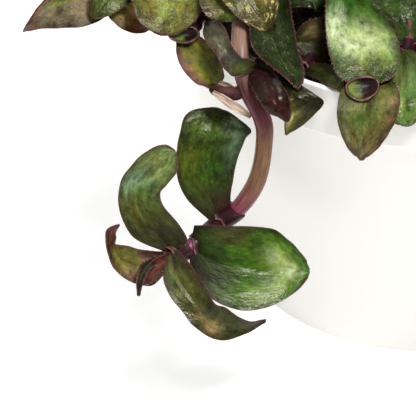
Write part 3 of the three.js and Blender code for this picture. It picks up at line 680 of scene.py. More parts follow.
bright_leaves = [
    # the large bright leaf, the one that hangs under it, and two to their right
    drawn_leaf(
        [(386, -36, 382, -43, 378, -50, 138), (371, -18, 361, -26, 345, -38, 147),
         (370, 0, 353, -6, 328, -14, 154), (385, 18, 352, 14, 325.5, 12, 161),
         (397, 38, 356, 37, 326.5, 38, 169.5), (400, 58, 361, 56, 331, 60, 175),
         (395, 74, 365, 71, 338, 75, 177.5), (384, 81.5, 366, 79, 348, 82, 178.5),
         (371, 84, 366, 84.5, 361, 84.5, 178.8)],
        ["#274b21", "#3d6b32", "#40462e"],
        # the two pale spots first in this list are painted highlight, as are the whitish patches below; the
        # two dark spots on the rib are painted shade in its groove
        [(-0.35, 0.55, 8, "#b4cc96", 0.75), (0.6, 0.5, 5, "#8aa878", 0.6), (0.1, 0.9, 7, "#33261c", 0.9),
         (0.5, 0.78, 5, "#33482a", 0.6), (-0.7, 0.8, 6, "#33482a", 0.7), (0.1, 0.74, 4, "#4a4c30", 0.6),
         (0.75, 0.2, 5, "#1c4a1e", 0.7), (-0.05, 0.2, 3.5, "#163c18", 0.8), (0.0, 0.31, 3, "#1c4a20", 0.75),
         (-0.85, 0.35, 4, "#3a5a34", 0.7)],
        bloom=[(-0.3, 0.5, 6, 0.6), (0.65, 0.44, 5, 0.75), (0.2, 0.56, 6, 0.65)],
    ),
    drawn_leaf(
        [(388, 75, 371, 77, 354, 80, 168.5), (398, 88, 368, 92, 341, 92, 179),
         (399.5, 105, 365, 110, 337, 110, 182), (394, 124, 363, 128, 339, 128, 181),
         (384, 141, 361.5, 143, 345, 143, 179), (373, 153.5, 361, 153.5, 353, 154, 176.5),
         (363, 159, 361.5, 160, 360, 159, 175)],
        ["#4c512f", "#5c643e", "#685b4c"],
        [(-0.95, 0.3, 2.5, "#a07a70", 0.75), (-0.95, 0.45, 2.5, "#a07a70", 0.75),
         (-0.95, 0.6, 2.5, "#9c7870", 0.75), (-0.9, 0.76, 2.5, "#967870", 0.7),
         (0.95, 0.5, 2.5, "#8c7468", 0.6), (0.7, 0.55, 4, "#7c7c5c", 0.6), (0.1, 0.42, 4, "#5c8434", 0.5),
         (-0.2, 0.66, 4, "#5a5c36", 0.6), (0.15, 0.9, 2.5, "#9a9478", 0.7)],
    ),
    drawn_leaf(
        [(397, 57, 404, 52, 412, 50, 163), (388, 70, 408, 64, 432, 62, 169),
         (382, 90, 409, 84, 440, 80, 174.5), (383, 106, 409, 102, 441, 96, 178),
         (388, 118, 409, 114, 434, 108, 178.5), (397, 124, 409, 122, 424, 116, 178),
         (405, 125.5, 409, 125, 413, 123.5, 177.5)],
        ["#4c5435", "#556b4c", "#67795d"],
        [(0.0, 0.5, 7, "#467f38", 0.7), (-0.4, 0.3, 5, "#5a6a4c", 0.7), (-0.5, 0.55, 3, "#b4c49c", 0.5),
         (-0.2, 0.8, 5, "#5f8a58", 0.6)],
    ),
    drawn_leaf(
        [(372, -52, 385, -54, 398, -52, 140), (366, -28, 392, -32, 420, -32, 144),
         (363, -8, 396, -10, 432, -12, 148), (367, 8, 400, 8, 436, 6, 151),
         (377, 24, 404, 24, 434, 22, 153.5), (389, 37, 408, 36, 426, 33, 156),
         (402, 44, 409, 44, 416, 42, 158), (408, 47, 410, 47.5, 412, 46.5, 159)],
        ["#202f11", "#263d1a", "#2c3b1e"],
        [(0.1, 0.45, 6, "#3a5a30", 0.6), (-0.3, 0.6, 5, "#38452c", 0.6), (0.2, 0.72, 5, "#2c4a18", 0.7),
         (0.3, 0.25, 5, "#4c5c48", 0.5)],
    ),
]

FRONT_STEMS = [
    front_stem(
        "leafy_stem_hanging", (-50, -26), hanging_leaves,
        [(-60, 92, 132, "#5a4436"), (-72, 87, 147, "#6a4a3c"), (-74, 69, 158, "#86685a"),
         (-72, 55, 159, "#4c2c28"), (-66, 43, 157.5, "#603038"), (-65, 34.5, 154, "#67462f"),
         (-67.5, 20, 146, "#5e422b"), (-74.5, 9, 140, "#6c3340"), (-83.5, 2.5, 137, "#280c12"),
         (-92, -5.5, 138, "#7c3658"), (-100, -9.5, 142, "#542436")],
        radius=3.5, taper=0.06,
    ),
    front_stem(
        "leafy_stem_left", (-78, 5), left_leaves,
        [(-84, 108, 122, "#5a4a30"), (-96, 109, 130, "#6a5a38"), (-108, 102, 134, "#6f5a40"),
         (-120, 92.5, 138, "#74504a"), (-124.5, 88, 140, "#5f4038")],
    ),
    front_stem(
        "leafy_stem_olive", (-64, -12), olive_leaves,
        [(-76, 98, 127, "#4a2434"), (-87, 90, 138, "#3a1a28"), (-91, 79, 147, "#3a1a28"),
         (-97, 73.5, 151, "#4e2a34")],
    ),
    front_stem(
        "leafy_stem_flecked", (-36, -30), flecked_leaves,
        [(-48, 100, 133, "#4a3a24"), (-62, 109, 140, "#5a4430"), (-76, 111, 145, "#5f4a38"),
         (-84, 109, 147, "#5a4034")],
    ),
    front_stem(
        "leafy_stem_low", (-30, -42), low_leaves,
        [(-37, 88, 136, "#3c2c20"), (-42, 76, 141, "#4a2f2a"), (-46, 68, 146.5, "#4c2a2a"),
         (-50, 61.5, 154, "#5a3434")],
    ),
    front_stem(
        "leafy_stem_bright", (-16, -28), bright_leaves,
        [(-20, 104, 136, "#4a4028"), (-13, 91, 144.5, "#6a4a3a"), (-10, 74, 154, "#5a3430"),
         (-15, 63.5, 162.5, "#5a3034"), (-25, 58.5, 167.5, "#64404a")],
    ),
]

# The other stems stand round the sides, the back and the middle: their azimuth, how far out the
# root stands and the tip reaches, the crest's height over the compost, how far the tip hangs, and
# the places for leaves.
OTHER_STEMS = [
    (-66, 60, 128, 44, 62, 7),
    (-38, 62, 134, 40, 36, 7),
    (-10, 60, 130, 46, 74, 8),
    (18, 62, 136, 40, 30, 7),
    (46, 60, 130, 46, 60, 7),
    (76, 62, 136, 42, 28, 7),
    (106, 60, 130, 46, 70, 8),
    (134, 62, 136, 40, 34, 7),
    (160, 62, 128, 50, 50, 7),
    (-52, 28, 66, 66, 10, 6),
    (28, 30, 74, 70, 12, 6),
    (100, 30, 72, 68, 12, 6),
    (172, 32, 70, 64, 8, 6),
    (-20, 10, 34, 80, 4, 5),
    (140, 12, 36, 78, 4, 5),
    (-164, 34, 76, 60, 12, 5),
    (-118, 16, 44, 72, 6, 4),
]
ROWS_CLOSE_TO_TIP = 1.3
FIRST_LEAF_AT = 0.4
LAST_LEAF_AT = 0.985
LEAF_LENGTH = 50
LEAF_SLENDER = 0.64
RIB_REACHES = (0.36, 0.7, 0.88)
RIB_SAG = 0.04
AT_THE_NODE = 0.8 * MM

# The bends that a leaf may stand at: how far it opens, how much it rises, how much its tip droops.
BENDS = [
    (58, 0.3, 0.34),
    (44, 0.5, 0.28),
    (72, 0.15, 0.42),
    (34, 0.75, 0.22),
    (66, -0.1, 0.5),
    (26, 1.1, 0.15),
]
GREENS = [
    ["#33401c", "#3f6426", "#4c6a34"],
    ["#3a3a1c", "#55702c", "#5f7038"],
    ["#2c3818", "#2f5420", "#3c5c2c"],
    ["#4a4a28", "#6a7434", "#74703e"],
    ["#33482a", "#56785a", "#5f7a4e"],
    ["#3a4a1e", "#4a7c38", "#568446"],
]


def seeded_draws(seed):
    """Evenly spread numbers from 0 to 1, the same each time for the same seed."""
    word = 0xFFFFFFFF
    state = seed & word

    def draw():
        nonlocal state
        state = (state + 0x6D2B79F5) & word
        mixed = ((state ^ (state >> 15)) * (1 | state)) & word
        mixed = ((mixed + ((mixed ^ (mixed >> 7)) * (61 | mixed))) & word) ^ mixed
        return (mixed ^ (mixed >> 14)) / 4294967296

    return draw


draw = seeded_draws(20)
paint = random.Random(7)


def within(low, high):
    """The next drawn number, between two bounds."""
    return low + (high - low) * draw()


def node_surface(name):
    """The surface of a node of the frame, to find how its leaves stand."""
    shape = bpy.data.objects[name].data
    corners = [vertex.co.copy() for vertex in shape.vertices]
    return BVHTree.FromPolygons(corners, [tuple(face.vertices) for face in shape.polygons])


def rib_point(rib, t):
    """A place on a leaf's rib, a cubic curve through space."""
    a, b, c, d = rib
    s = 1 - t
    return s**3 * a + 3 * s * s * t * b + 3 * s * t * t * c + t**3 * d


def grown_leaf(surface, base, along, sideways, hand, length, lean, change):
    """The leaf at the bend at which the node has it, or None where the node has none there."""
    upwards = Vector((0, 0, 1))
    for open_angle, rise, droop in BENDS:
        opened = math.radians(open_angle + lean)
        start = along * math.cos(opened) + sideways * hand * math.sin(opened) + upwards * rise
        start.normalize()
        early, late, end = RIB_REACHES
        rib = [
            base,
            base + start * length * early,
            base + start * length * late - upwards * length * RIB_SAG,
            base + start * length * end - upwards * length * droop,
        ]
        rows = [1 - (1 - i / 4) ** ROWS_CLOSE_TO_TIP for i in (2, 3, 4)]
        if all(surface.find_nearest(rib_point(rib, t))[3] < AT_THE_NODE for t in rows):
            return {**USUAL_LEAF, **change, "rib": rib}
    return None


def other_stem(number, azimuth, root, reach, crest_over, hang, count):
    """One of the stems round the pot, with its leaves to the left and right by turns."""
    name = f"leafy_stem_{number:02d}"
    surface = node_surface(name)
    crest = SOIL_TOP_MM + crest_over
    span = reach - root
    swing = within(-9, 9)
    profile = [
        (root, SOIL_TOP_MM - ROOT_DEPTH),
        (root, SOIL_TOP_MM),
        (root, SOIL_TOP_MM + UPRIGHT_AT_SOIL),
        (root + span * 0.18, SOIL_TOP_MM + crest_over * 0.74),
        (root + span * 0.5, crest),
        (root + span * 0.84, crest - hang * 0.3),
        (reach, crest - hang),
    ]
    points = []
    for i, (radius, height) in enumerate(profile):
        angle = math.radians(azimuth + swing * (i / len(profile)) ** 2)
        points.append(MM * Vector((radius * math.cos(angle), radius * math.sin(angle), height)))
    heading = math.radians(azimuth)
    outwards = Vector((math.cos(heading), math.sin(heading), 0))
    sideways = Vector((0, 0, 1)).cross(outwards)
    leaves = []
    for k in range(count):
        reached = k / (count - 1)
        t = FIRST_LEAF_AT + (LAST_LEAF_AT - FIRST_LEAF_AT) * reached
        hand = 1 if k % 2 == 0 else -1
        length = LEAF_LENGTH * MM * within(0.88, 1.12) * (1 - 0.3 * reached**2)
        lean = within(-9, 9)
        change = dict(width=length * LEAF_SLENDER * within(0.94, 1.08))
        change["facing"] = (Vector((0, 0, 1)) + 0.45 * outwards).normalized()
        change["roll"] = hand * within(-4, 16)
        change["twist"] = within(-14, 14)
        change["cup"] = within(0.1, 0.3)
        change["phase"] = within(0, 6)
        change["tones"] = paint.choice(GREENS)
        place, along = stem_point(points, t), stem_along(points, t)
        leaf = grown_leaf(surface, place, along, sideways, hand, length, lean, change)
        if leaf:
            leaves.append({**leaf, "foot": t})
    tones = WOODY + ["#5c4434", "#7b5448", "#7c5a44", "#6e5a3c"]
    radius = STEM_RADIUS * MM
    return dict(name=name, points=points, tones=tones, leaves=leaves, radius=radius, taper=STEM_TAPER)


STEMS = FRONT_STEMS + [other_stem(i + 1, *plan) for i, plan in enumerate(OTHER_STEMS)]


def stem_mesh(stem):
    """The stem itself: a round tube that swells and thins a little along its length, its end rounded off.
    """
    points = stem["points"]
    sides, steps_a_point = STALK_GRID
    steps = (len(points) - 1) * steps_a_point
    frames = stem_frames(points, steps)
    tones = [linear(tone) for tone in stem["tones"]]

    def shape(u, s):
        i = round(s * steps)
        centre, along, side, over = frames[i]
        last = min((steps - i) / END_ROWS, 1)
        radius = stem_radius(stem, s) * math.sqrt(max(1 - (1 - last) ** 2, 0.02))
        radius *= 1 + STALK_SWELL * math.sin(s * 37) + STALK_LUMPS * math.sin(u * math.tau + s * 21)
        angle = math.pi * u
        where = centre + radius * (side * math.cos(angle) + over * math.sin(angle))
        spot = s * (len(points) - 1)
        k = min(int(spot), len(points) - 2)
        colour = blend(tones[k], tones[k + 1], spot - k)
        return where, colour, (u * 9, s * 12 * len(points), 9)

    tube = shaped_grid(stem["name"] + "_stalk", sides, steps, shape)
    close_tube(capped=True)
    return tube


# Stem skin: smooth and faintly waxy, streaked along its length with darker purple and brown.
stem_skin, tree, shader = material("fleshy stem skin")
tone = node(tree, "ShaderNodeAttribute", {"attribute_name": "tone"})
grain = node(tree, "ShaderNodeAttribute", {"attribute_name": "grain"})
longways = node(tree, "ShaderNodeMapping", {"Scale": (1, 0.12, 1)}, {"Vector": grain.outputs["Vector"]})
fibrous = {"Scale": 0.9, "Detail": 5, "Roughness": 0.65}
streaks = node(tree, "ShaderNodeTexNoise", fibrous, {"Vector": longways.outputs["Vector"]})
dark_to_pale = {"From Min": 0.3, "From Max": 0.7, "To Min": 0.5, "To Max": 2.0}
depth = node(tree, "ShaderNodeMapRange", dark_to_pale, {"Value": streaks.outputs["Fac"]})
tinted = node(
    tree,
    "ShaderNodeVectorMath",
    {"operation": "SCALE"},
    {"Vector": tone.outputs["Color"], "Scale": depth.outputs["Result"]},
)
ridged = {"Strength": 0.35, "Distance": 0.3 * MM}
ridges = node(tree, "ShaderNodeBump", ridged, {"Height": streaks.outputs["Fac"]})
tree.links.new(tinted.outputs["Vector"], shader.inputs["Base Color"])
tree.links.new(ridges.outputs["Normal"], shader.inputs["Normal"])
shader.inputs["Roughness"].default_value = 0.36
shader.inputs["IOR"].default_value = 1.42
shader.inputs["Specular IOR Level"].default_value = 0.35

for stem in STEMS:
    stalk = joined([stem_mesh(stem)], stem["name"] + "_stalk")
    stalk.data.materials.append(stem_skin)
    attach(stalk, "root")
    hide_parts(stem["name"])

# The leaves are thick and succulent: an oval blade with a short point, a groove for a midrib, a
# margin that waves, a mottled green face, a purple back and a thin rose-brown rim.
BLADE_THICKNESS = 1.2 * MM
LEAF_DEPTH = 0.74
NARROWEST = 0.45 * MM
FULLEST = 1.06
BASE_TONE_TO = 0.28
GROOVE_DEPTH, GROOVE_WIDTH = 0.55 * MM, 1.1 * MM
FRILL_RISE, FRILL_REACH = 0.6 * MM, 0.3 * MM
FRILL_FROM = 4 * MM
SWELL_RISE, SWELL_SIZE = 0.4 * MM, 6 * MM
EDGE_THINNING = 0.5
SPOT_RAGGED, SPOT_FALL = 0.5, 1.2
BLUE_OF_GREEN, BLUE_OF_PURPLE = 0.5, 0.8
FRONT_GRID = (26, 52)
OTHER_GRID = (14, 28)


def blade_profile(leaf, t):
    """How much of its full width a leaf has at t along its rib."""
    peak = leaf["round"] / (leaf["round"] + leaf["point"])
    top = peak ** leaf["round"] * (1 - peak) ** leaf["point"]
    own = t ** leaf["round"] * (1 - t) ** leaf["point"] / top
    return min(own + leaf["neck"] * (1 - t) ** 3, FULLEST)


def blade_point(leaf, t, u):
    """The middle of a blade's thickness, at t along it and u across it, from -1 to 1."""
    if "lines" in leaf:
        left, rib, right = [stem_point(line, t) for line in leaf["lines"]]
        return rib + (left + right - 2 * rib) * (u * u / 2) + (right - left) * (u / 2)
    rib = leaf["rib"]
    along = (rib_point(rib, min(t + 1e-3, 1)) - rib_point(rib, max(t - 1e-3, 0))).normalized()
    face = (leaf["facing"] - along * leaf["facing"].dot(along)).normalized()
    face = Matrix.Rotation(math.radians(leaf["roll"] + leaf["twist"] * t), 3, along) @ face
    half = max(leaf["width"] / 2 * blade_profile(leaf, t), NARROWEST)
    ripple = leaf["wave"] * math.sin(math.tau * leaf["waves"] * t + leaf["phase"]) * u * abs(u)
    return rib_point(rib, t) + half * (along.cross(face) * u + face * (leaf["cup"] * u * u + ripple))


def blade_frame(leaf, t):
    """The half width of a leaf at t, and its side and its direction there."""
    left, right = blade_point(leaf, t, -1), blade_point(leaf, t, 1)
    low, high = max(t - 1e-3, 0), min(t + 1e-3, 1)
    along = (blade_point(leaf, high, 0) - blade_point(leaf, low, 0)).normalized()
    return (right - left).length / 2, (right - left).normalized(), along


def rib_length(leaf):
    """How long a leaf is, along its rib."""
    places = [blade_point(leaf, i / 20, 0) for i in range(21)]
    return sum((there - here).length for here, there in zip(places, places[1:]))


def leaf_tone(colour):
    """A leaf's own colour: living green sends back very little blue light, purple more."""
    red, green, blue, full = linear(colour)
    kept_blue = BLUE_OF_GREEN if green > red else BLUE_OF_PURPLE
    return [LEAF_DEPTH * red, LEAF_DEPTH * green, LEAF_DEPTH * blue * kept_blue, full]


def blade_mesh(leaf, name, columns, rows, number):
    """One leaf: a grid laid over its blade, given its thickness by a modifier."""
    length = rib_length(leaf)
    closeness = 1 if "lines" in leaf else ROWS_CLOSE_TO_TIP
    steps = [1 - (1 - i / rows) ** closeness for i in range(rows + 1)]
    frames = [blade_frame(leaf, t) for t in steps]
    tones = [leaf_tone(tone) for tone in leaf["tones"]]
    spots = [(u, t, size * MM, leaf_tone(tone), share) for u, t, size, tone, share in leaf["spots"]]
    seat = Vector((number * 3.7, number * 1.3, 0))
    highlight_paint = []

    def away(u, t, across, far):
        """How far a place on the leaf lies from the middle of a mark."""
        return Vector(((u - across) * leaf["width"] / 2, (t - far) * length, 0))

    def shape(u, s):
        row = round(s * rows)
        t = steps[row]
        half, side, along = frames[row]
        edge = abs(u)
        face = side.cross(along).normalized()
        frill = noise.noise(seat + Vector((t * 9, 4 if u > 0 else 8, 0)))
        frill *= min(half / FRILL_FROM, 1)
        swell = noise.noise(seat + Vector((u * half, t * length, 0)) / SWELL_SIZE)
        lift = -GROOVE_DEPTH * math.exp(-((u * half / GROOVE_WIDTH) ** 2)) * (1 - t) ** 0.4
        lift += FRILL_RISE * frill * edge**4
        lift += SWELL_RISE * swell * (1 - edge**6)
        reach = FRILL_REACH * frill * u * edge
        where = blade_point(leaf, t, u) + side * reach + face * lift
        colour = blend(tones[0], tones[1], t / BASE_TONE_TO)
        if t >= BASE_TONE_TO:
            colour = blend(tones[1], tones[2], (t - BASE_TONE_TO) / (1 - BASE_TONE_TO))
        for across, far, size, tone, share in spots:
            off = away(u, t, across, far)
            off_by = off.length / size + SPOT_RAGGED * noise.noise(seat + off / (4 * MM))
            colour = blend(colour, tone, share * math.exp(-(max(off_by, 0) ** 2) * SPOT_FALL))
        toward_tip, toward_margin = 3 * (t - 0.5), 1.2 * (edge - 0.6)
        colour = colour[:3] + [leaf["flecks"] * min(max(toward_tip + toward_margin, 0), 1)]
        # Painted highlights: whitish patches at the places that the leaf lists, broken up by a pattern.
        highlight_share = 0
        for across, far, size, share in leaf["bloom"]:
            off_by = away(u, t, across, far).length / (size * MM)
            highlight_share = max(highlight_share, share * math.exp(-(off_by**2)))
        highlight_paint.append(highlight_share)
        margin = min(half * (1 - edge), (1 - t) * length) / MM
        return where, colour, (u * leaf["width"] / 2 / MM + number * 31, t * length / MM, margin)

    blade = shaped_grid(name, columns, rows, shape)
    bloom = blade.data.attributes.new("bloom", "FLOAT", "POINT")
    bloom.data.foreach_set("value", highlight_paint)
    thin = blade.vertex_groups.new(name="thickness")
    for vertex in blade.data.vertices:
        edge = abs(2 * (vertex.index % (columns + 1)) / columns - 1)
        thin.add([vertex.index], 1 - EDGE_THINNING * edge**3, "REPLACE")
    shell = blade.modifiers.new("thickness", "SOLIDIFY")
    shell.thickness = BLADE_THICKNESS
    shell.offset = 0
    shell.vertex_group = "thickness"
    shell.thickness_vertex_group = 0
    shell.material_offset = 1
    shell.material_offset_rim = 2
    bpy.ops.object.modifier_apply(modifier="thickness")
    return blade


# The face of a leaf: a waxy green skin, mottled along its fine parallel veins, with a rose-brown
# line at the margin, whitish painted highlights in places, broken into patches, and puckers that
# break its gloss into sparks.
leaf_face, tree, shader = material("waxy leaf face")
tone = node(tree, "ShaderNodeAttribute", {"attribute_name": "tone"})
grain = node(tree, "ShaderNodeAttribute", {"attribute_name": "grain"})
highlight_paint = node(tree, "ShaderNodeAttribute", {"attribute_name": "bloom"})
parts = node(tree, "ShaderNodeSeparateXYZ", {}, {"Vector": grain.outputs["Vector"]})
flat = node(tree, "ShaderNodeCombineXYZ", {}, {"X": parts.outputs["X"], "Y": parts.outputs["Y"]})
longways = node(tree, "ShaderNodeMapping", {"Scale": (1, 0.7, 1)}, {"Vector": flat.outputs["Vector"]})

# Its patterns, each with its scale, one over its width in millimetres, its detail and roughness:
# patches 5 mm wide, mottling 1.6 mm, a flush 8 mm, and, of about 2.5 mm, the breaks in the painted
# highlights and the puckers.
patterns = {}
for name, laid, scale, detail, roughness in (
    ("patches", longways, 0.2, 5, 0.6),
    ("mottle", longways, 0.62, 6, 0.78),
    ("flush", longways, 0.13, 4, 0.65),
    ("scars", flat, 0.2, 7, 0.76),
    ("highlight_breakup", flat, 0.4, 5, 0.6),
    ("puckers", flat, 0.42, 2.5, 0.5),
):
    settings = {"Scale": scale, "Detail": detail, "Roughness": roughness}
    clouds = node(tree, "ShaderNodeTexNoise", settings, {"Vector": laid.outputs["Vector"]})
    patterns[name] = clouds.outputs["Fac"]
ragged = node(
    tree,
    "ShaderNodeMath",
    {"operation": "MULTIPLY_ADD", 1: -1.1},
    {0: patterns["mottle"], 2: parts.outputs["Z"]},
)

# How much each shows: what it follows, the range that it has there, and the share that this gives.
shares = {"flecks here": tone.outputs["Alpha"], "bloom here": highlight_paint.outputs["Fac"]}
for name, followed, low, high, least, most in (
    ("broad", patterns["patches"], 0.32, 0.68, 0.3, 1.6),
    ("fine", patterns["mottle"], 0.34, 0.66, 0.5, 1.4),
    ("inward", ragged.outputs["Value"], -0.4, 3, 0.5, 1),
    ("warmth", patterns["flush"], 0.42, 0.66, 0, 1),
    ("specks", patterns["mottle"], 0.6, 0.72, 0, 0.3),
    ("dry", patterns["scars"], 0.54, 0.6, 0, 1),
    ("highlight_breakup", patterns["highlight_breakup"], 0.3, 0.66, 0, 1),
    ("margin", ragged.outputs["Value"], -0.6, -0.08, 0.8, 0),
    ("gloss", patterns["mottle"], 0.35, 0.65, 0.22, 0.4),
    ("dull foot", parts.outputs["Y"], 3, 18, 0.35, 0),
):
    settings = {"From Min": low, "From Max": high, "To Min": least, "To Max": most}
    shares[name] = node(tree, "ShaderNodeMapRange", settings, {"Value": followed}).outputs["Result"]
for name, operation, one, two in (
    ("depth", "MULTIPLY", "broad", "fine"),
    ("depth", "MULTIPLY", "depth", "inward"),
    ("flecks", "MULTIPLY", "dry", "flecks here"),
    ("bloom", "MULTIPLY", "highlight_breakup", "bloom here"),
    ("roughness", "ADD", "gloss", "dull foot"),
):
    together = node(tree, "ShaderNodeMath", {"operation": operation}, {0: shares[one], 1: shares[two]})
    shares[name] = together.outputs["Value"]

# The green in its depth, and over it the warm flush, pale specks, dry flecks, painted highlights
# and margin.
green = node(
    tree,
    "ShaderNodeVectorMath",
    {"operation": "SCALE"},
    {"Vector": tone.outputs["Color"], "Scale": shares["depth"]},
)
skin = green.outputs["Vector"]
for name, blend_type, colour in (
    ("warmth", "MULTIPLY", (1.25, 0.98, 0.7, 1)),
    ("specks", "MIX", linear("#a3a04a")),
    ("flecks", "MIX", linear("#cdbf74")),
    ("bloom", "MIX", linear("#d3dcae")),
    ("margin", "MIX", linear("#54292c")),
):
    settings = {"data_type": "RGBA", "blend_type": blend_type, 7: colour}
    skin = node(tree, "ShaderNodeMix", settings, {"Factor": shares[name], 6: skin}).outputs[2]

# Relief: veins 1.3 mm apart under the skin, the puckers, and cells of 0.7 mm that make the gloss
# sparkle. The real cells are finer, and are drawn as coarse as they need to be to show.
banded = {"wave_type": "BANDS", "bands_direction": "X", "Scale": 0.24}
banded.update({"Distortion": 1.5, "Detail": 2, "Detail Scale": 1.2})
veins = node(tree, "ShaderNodeTexWave", banded, {"Vector": longways.outputs["Vector"]})
cells = node(tree, "ShaderNodeTexVoronoi", {"Scale": 1.5}, {"Vector": longways.outputs["Vector"]})
below = {}
for height, strength, distance in (
    (veins.outputs["Fac"], 0.5, 0.03 * MM),
    (patterns["puckers"], 1, 0.36 * MM),
    (cells.outputs["Distance"], 0.6, 0.04 * MM),
):
    settings = {"Strength": strength, "Distance": distance}
    relief = node(tree, "ShaderNodeBump", settings, {"Height": height, **below})
    below = {"Normal": relief.outputs["Normal"]}
tree.links.new(skin, shader.inputs["Base Color"])
tree.links.new(below["Normal"], shader.inputs["Normal"])
tree.links.new(shares["roughness"], shader.inputs["Roughness"])
shader.inputs["IOR"].default_value = 1.45
shader.inputs["Specular IOR Level"].default_value = 0.28
shader.inputs["Specular Tint"].default_value = linear("#fffbe0")

# The back of a leaf: the same skin with less wax, flushed dark purple in clouds of about 2 mm.
leaf_back, tree, shader = material("purple leaf back")
grain = node(tree, "ShaderNodeAttribute", {"attribute_name": "grain"})
longways = node(tree, "ShaderNodeMapping", {"Scale": (1, 0.3, 1)}, {"Vector": grain.outputs["Vector"]})
clouded = {"Scale": 0.5, "Detail": 5, "Roughness": 0.65}
flush = node(tree, "ShaderNodeTexNoise", clouded, {"Vector": longways.outputs["Vector"]})
purples = node(tree, "ShaderNodeValToRGB", {}, {"Fac": flush.outputs["Fac"]})
for stop, at, colour in zip(purples.color_ramp.elements, (0.3, 0.72), ("#1a080d", "#441620")):
    stop.position = at
    stop.color = linear(colour)
ribbed = {"Strength": 0.5, "Distance": 0.4 * MM}
ribs = node(tree, "ShaderNodeBump", ribbed, {"Height": flush.outputs["Fac"]})
tree.links.new(purples.outputs["Color"], shader.inputs["Base Color"])
tree.links.new(ribs.outputs["Normal"], shader.inputs["Normal"])
shader.inputs["Roughness"].default_value = 0.5
shader.inputs["IOR"].default_value = 1.45
shader.inputs["Specular IOR Level"].default_value = 0.16

# The rim of a leaf: a thin dry edge, rose-brown in patches of about a millimetre, paler where worn.
leaf_rim, tree, shader = material("rose-brown leaf rim")
grain = node(tree, "ShaderNodeAttribute", {"attribute_name": "grain"})
wear = node(tree, "ShaderNodeTexNoise", {"Scale": 0.9, "Detail": 4}, {"Vector": grain.outputs["Vector"]})
roses = node(tree, "ShaderNodeValToRGB", {}, {"Fac": wear.outputs["Fac"]})
for stop, at, colour in zip(roses.color_ramp.elements, (0.35, 0.7), ("#58342f", "#a58a76")):
    stop.position = at
    stop.color = linear(colour)
tree.links.new(roses.outputs["Color"], shader.inputs["Base Color"])
shader.inputs["Roughness"].default_value = 0.6

for stem in STEMS:
    columns, rows = FRONT_GRID if stem in FRONT_STEMS else OTHER_GRID
    blades = []
    for number, leaf in enumerate(stem["leaves"]):
        seat = number + 11 * len(stem["name"]) + STEMS.index(stem) * 17
        blades.append(blade_mesh(leaf, stem["name"] + "_leaf", columns, rows, seat))
    if not blades:
        continue
    leaves = joined(blades, stem["name"] + "_leaves")
    for skin in (leaf_face, leaf_back, leaf_rim):
        leaves.data.materials.append(skin)
    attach(leaves, "root")
    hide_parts(stem["name"])

# Where a leaf leaves the stem its foot is a short sheath that wraps the stem, thin and purplish,
# its mouth a little open, with a dry edge of dull rose.
SHEATH_LENGTH = 7 * MM
SHEATH_GAP = 0.35 * MM
SHEATH_WALL = 0.35 * MM
SHEATH_FLARE = 0.4 * MM
TONGUE_RISE, RAGGED_RISE = 1.6 * MM, 1.1 * MM
DRY_EDGE_FROM = 0.88
LOWEST_SHEATH_AT = 0.2
SHEATH_GRID = (20, 10)


def give_wall(sheet, thickness, offset):
    """Gives a thin sheet, the object in hand, its wall."""
    wall = sheet.modifiers.new("wall", "SOLIDIFY")
    wall.thickness = thickness
    wall.offset = offset
    bpy.ops.object.modifier_apply(modifier="wall")


def foot_of(leaf, points):
    """Where on its stem a leaf grows."""
    if "foot" in leaf:
        return leaf["foot"]
    tries = [i / 400 for i in range(401)]
    return min(tries, key=lambda t: (stem_point(points, t) - blade_point(leaf, 0, 0)).length)


def sheath_mesh(stem, leaf, number):
    """A tube round the stem below a leaf, flared at its mouth, with a ragged edge."""
    points = stem["points"]
    foot = foot_of(leaf, points)
    speed = (stem_point(points, foot) - stem_point(points, foot - 0.01)).length / 0.01
    low = max(foot - SHEATH_LENGTH / speed, LOWEST_SHEATH_AT)
    sides, rows = SHEATH_GRID
    steps = [low + (foot - low) * i / rows for i in range(rows + 1)]
    frames = [(t, stem_point(points, t), stem_along(points, t)) for t in steps]
    purple, dusk, straw = linear("#2e121a"), linear("#220c12"), linear("#7c504e")
    toward_leaf = (blade_point(leaf, 0.3, 0) - blade_point(leaf, 0, 0)).normalized()

    def shape(u, s):
        t, centre, along = frames[round(s * rows)]
        side = (toward_leaf - along * toward_leaf.dot(along)).normalized()
        over = along.cross(side)
        angle = math.pi * u
        ragged_edge = noise.noise(Vector((math.cos(angle) * 2, math.sin(angle) * 2, number)))
        radius = stem_radius(stem, t) + SHEATH_GAP
        radius += SHEATH_FLARE * s**4 * (1 + 0.6 * math.cos(angle))
        rise = along * (TONGUE_RISE * math.cos(angle) + RAGGED_RISE * ragged_edge) * s * s
        where = centre + rise + radius * (side * math.cos(angle) + over * math.sin(angle))
        colour = blend(purple, dusk, s * 1.2)
        if s >= DRY_EDGE_FROM:
            colour = blend(dusk, straw, (s - DRY_EDGE_FROM) / (1 - DRY_EDGE_FROM))
        return where, colour, (u * 9 + number, s * 9, 9)

    tube = shaped_grid(stem["name"] + "_sheath", sides, rows, shape)
    close_tube(capped=False)
    give_wall(tube, SHEATH_WALL, offset=1)
    return tube


for stem in STEMS:
    tubes = [sheath_mesh(stem, leaf, i) for i, leaf in enumerate(stem["leaves"]) if leaf["sheath"]]
    if not tubes:
        continue
    sheaths = joined(tubes, stem["name"] + "_sheaths")
    sheaths.data.materials.append(stem_skin)
    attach(sheaths, "root")
    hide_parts(stem["name"])

# Two leaves at the rim have the mouth of their sheath turned to the light: an oval cup with a
# rolled brown lip, painted inside with light, in green, on one side and with shadow on the other.
CUP_WALL = 0.4 * MM
CUP_LIP_FROM = 0.7
CUP_GRID = (32, 20)
LIP_ROLL, LIP_RAGGED, LIP_RISE, LIP_DROP = 0.75, 0.5, 0.6, 1.2


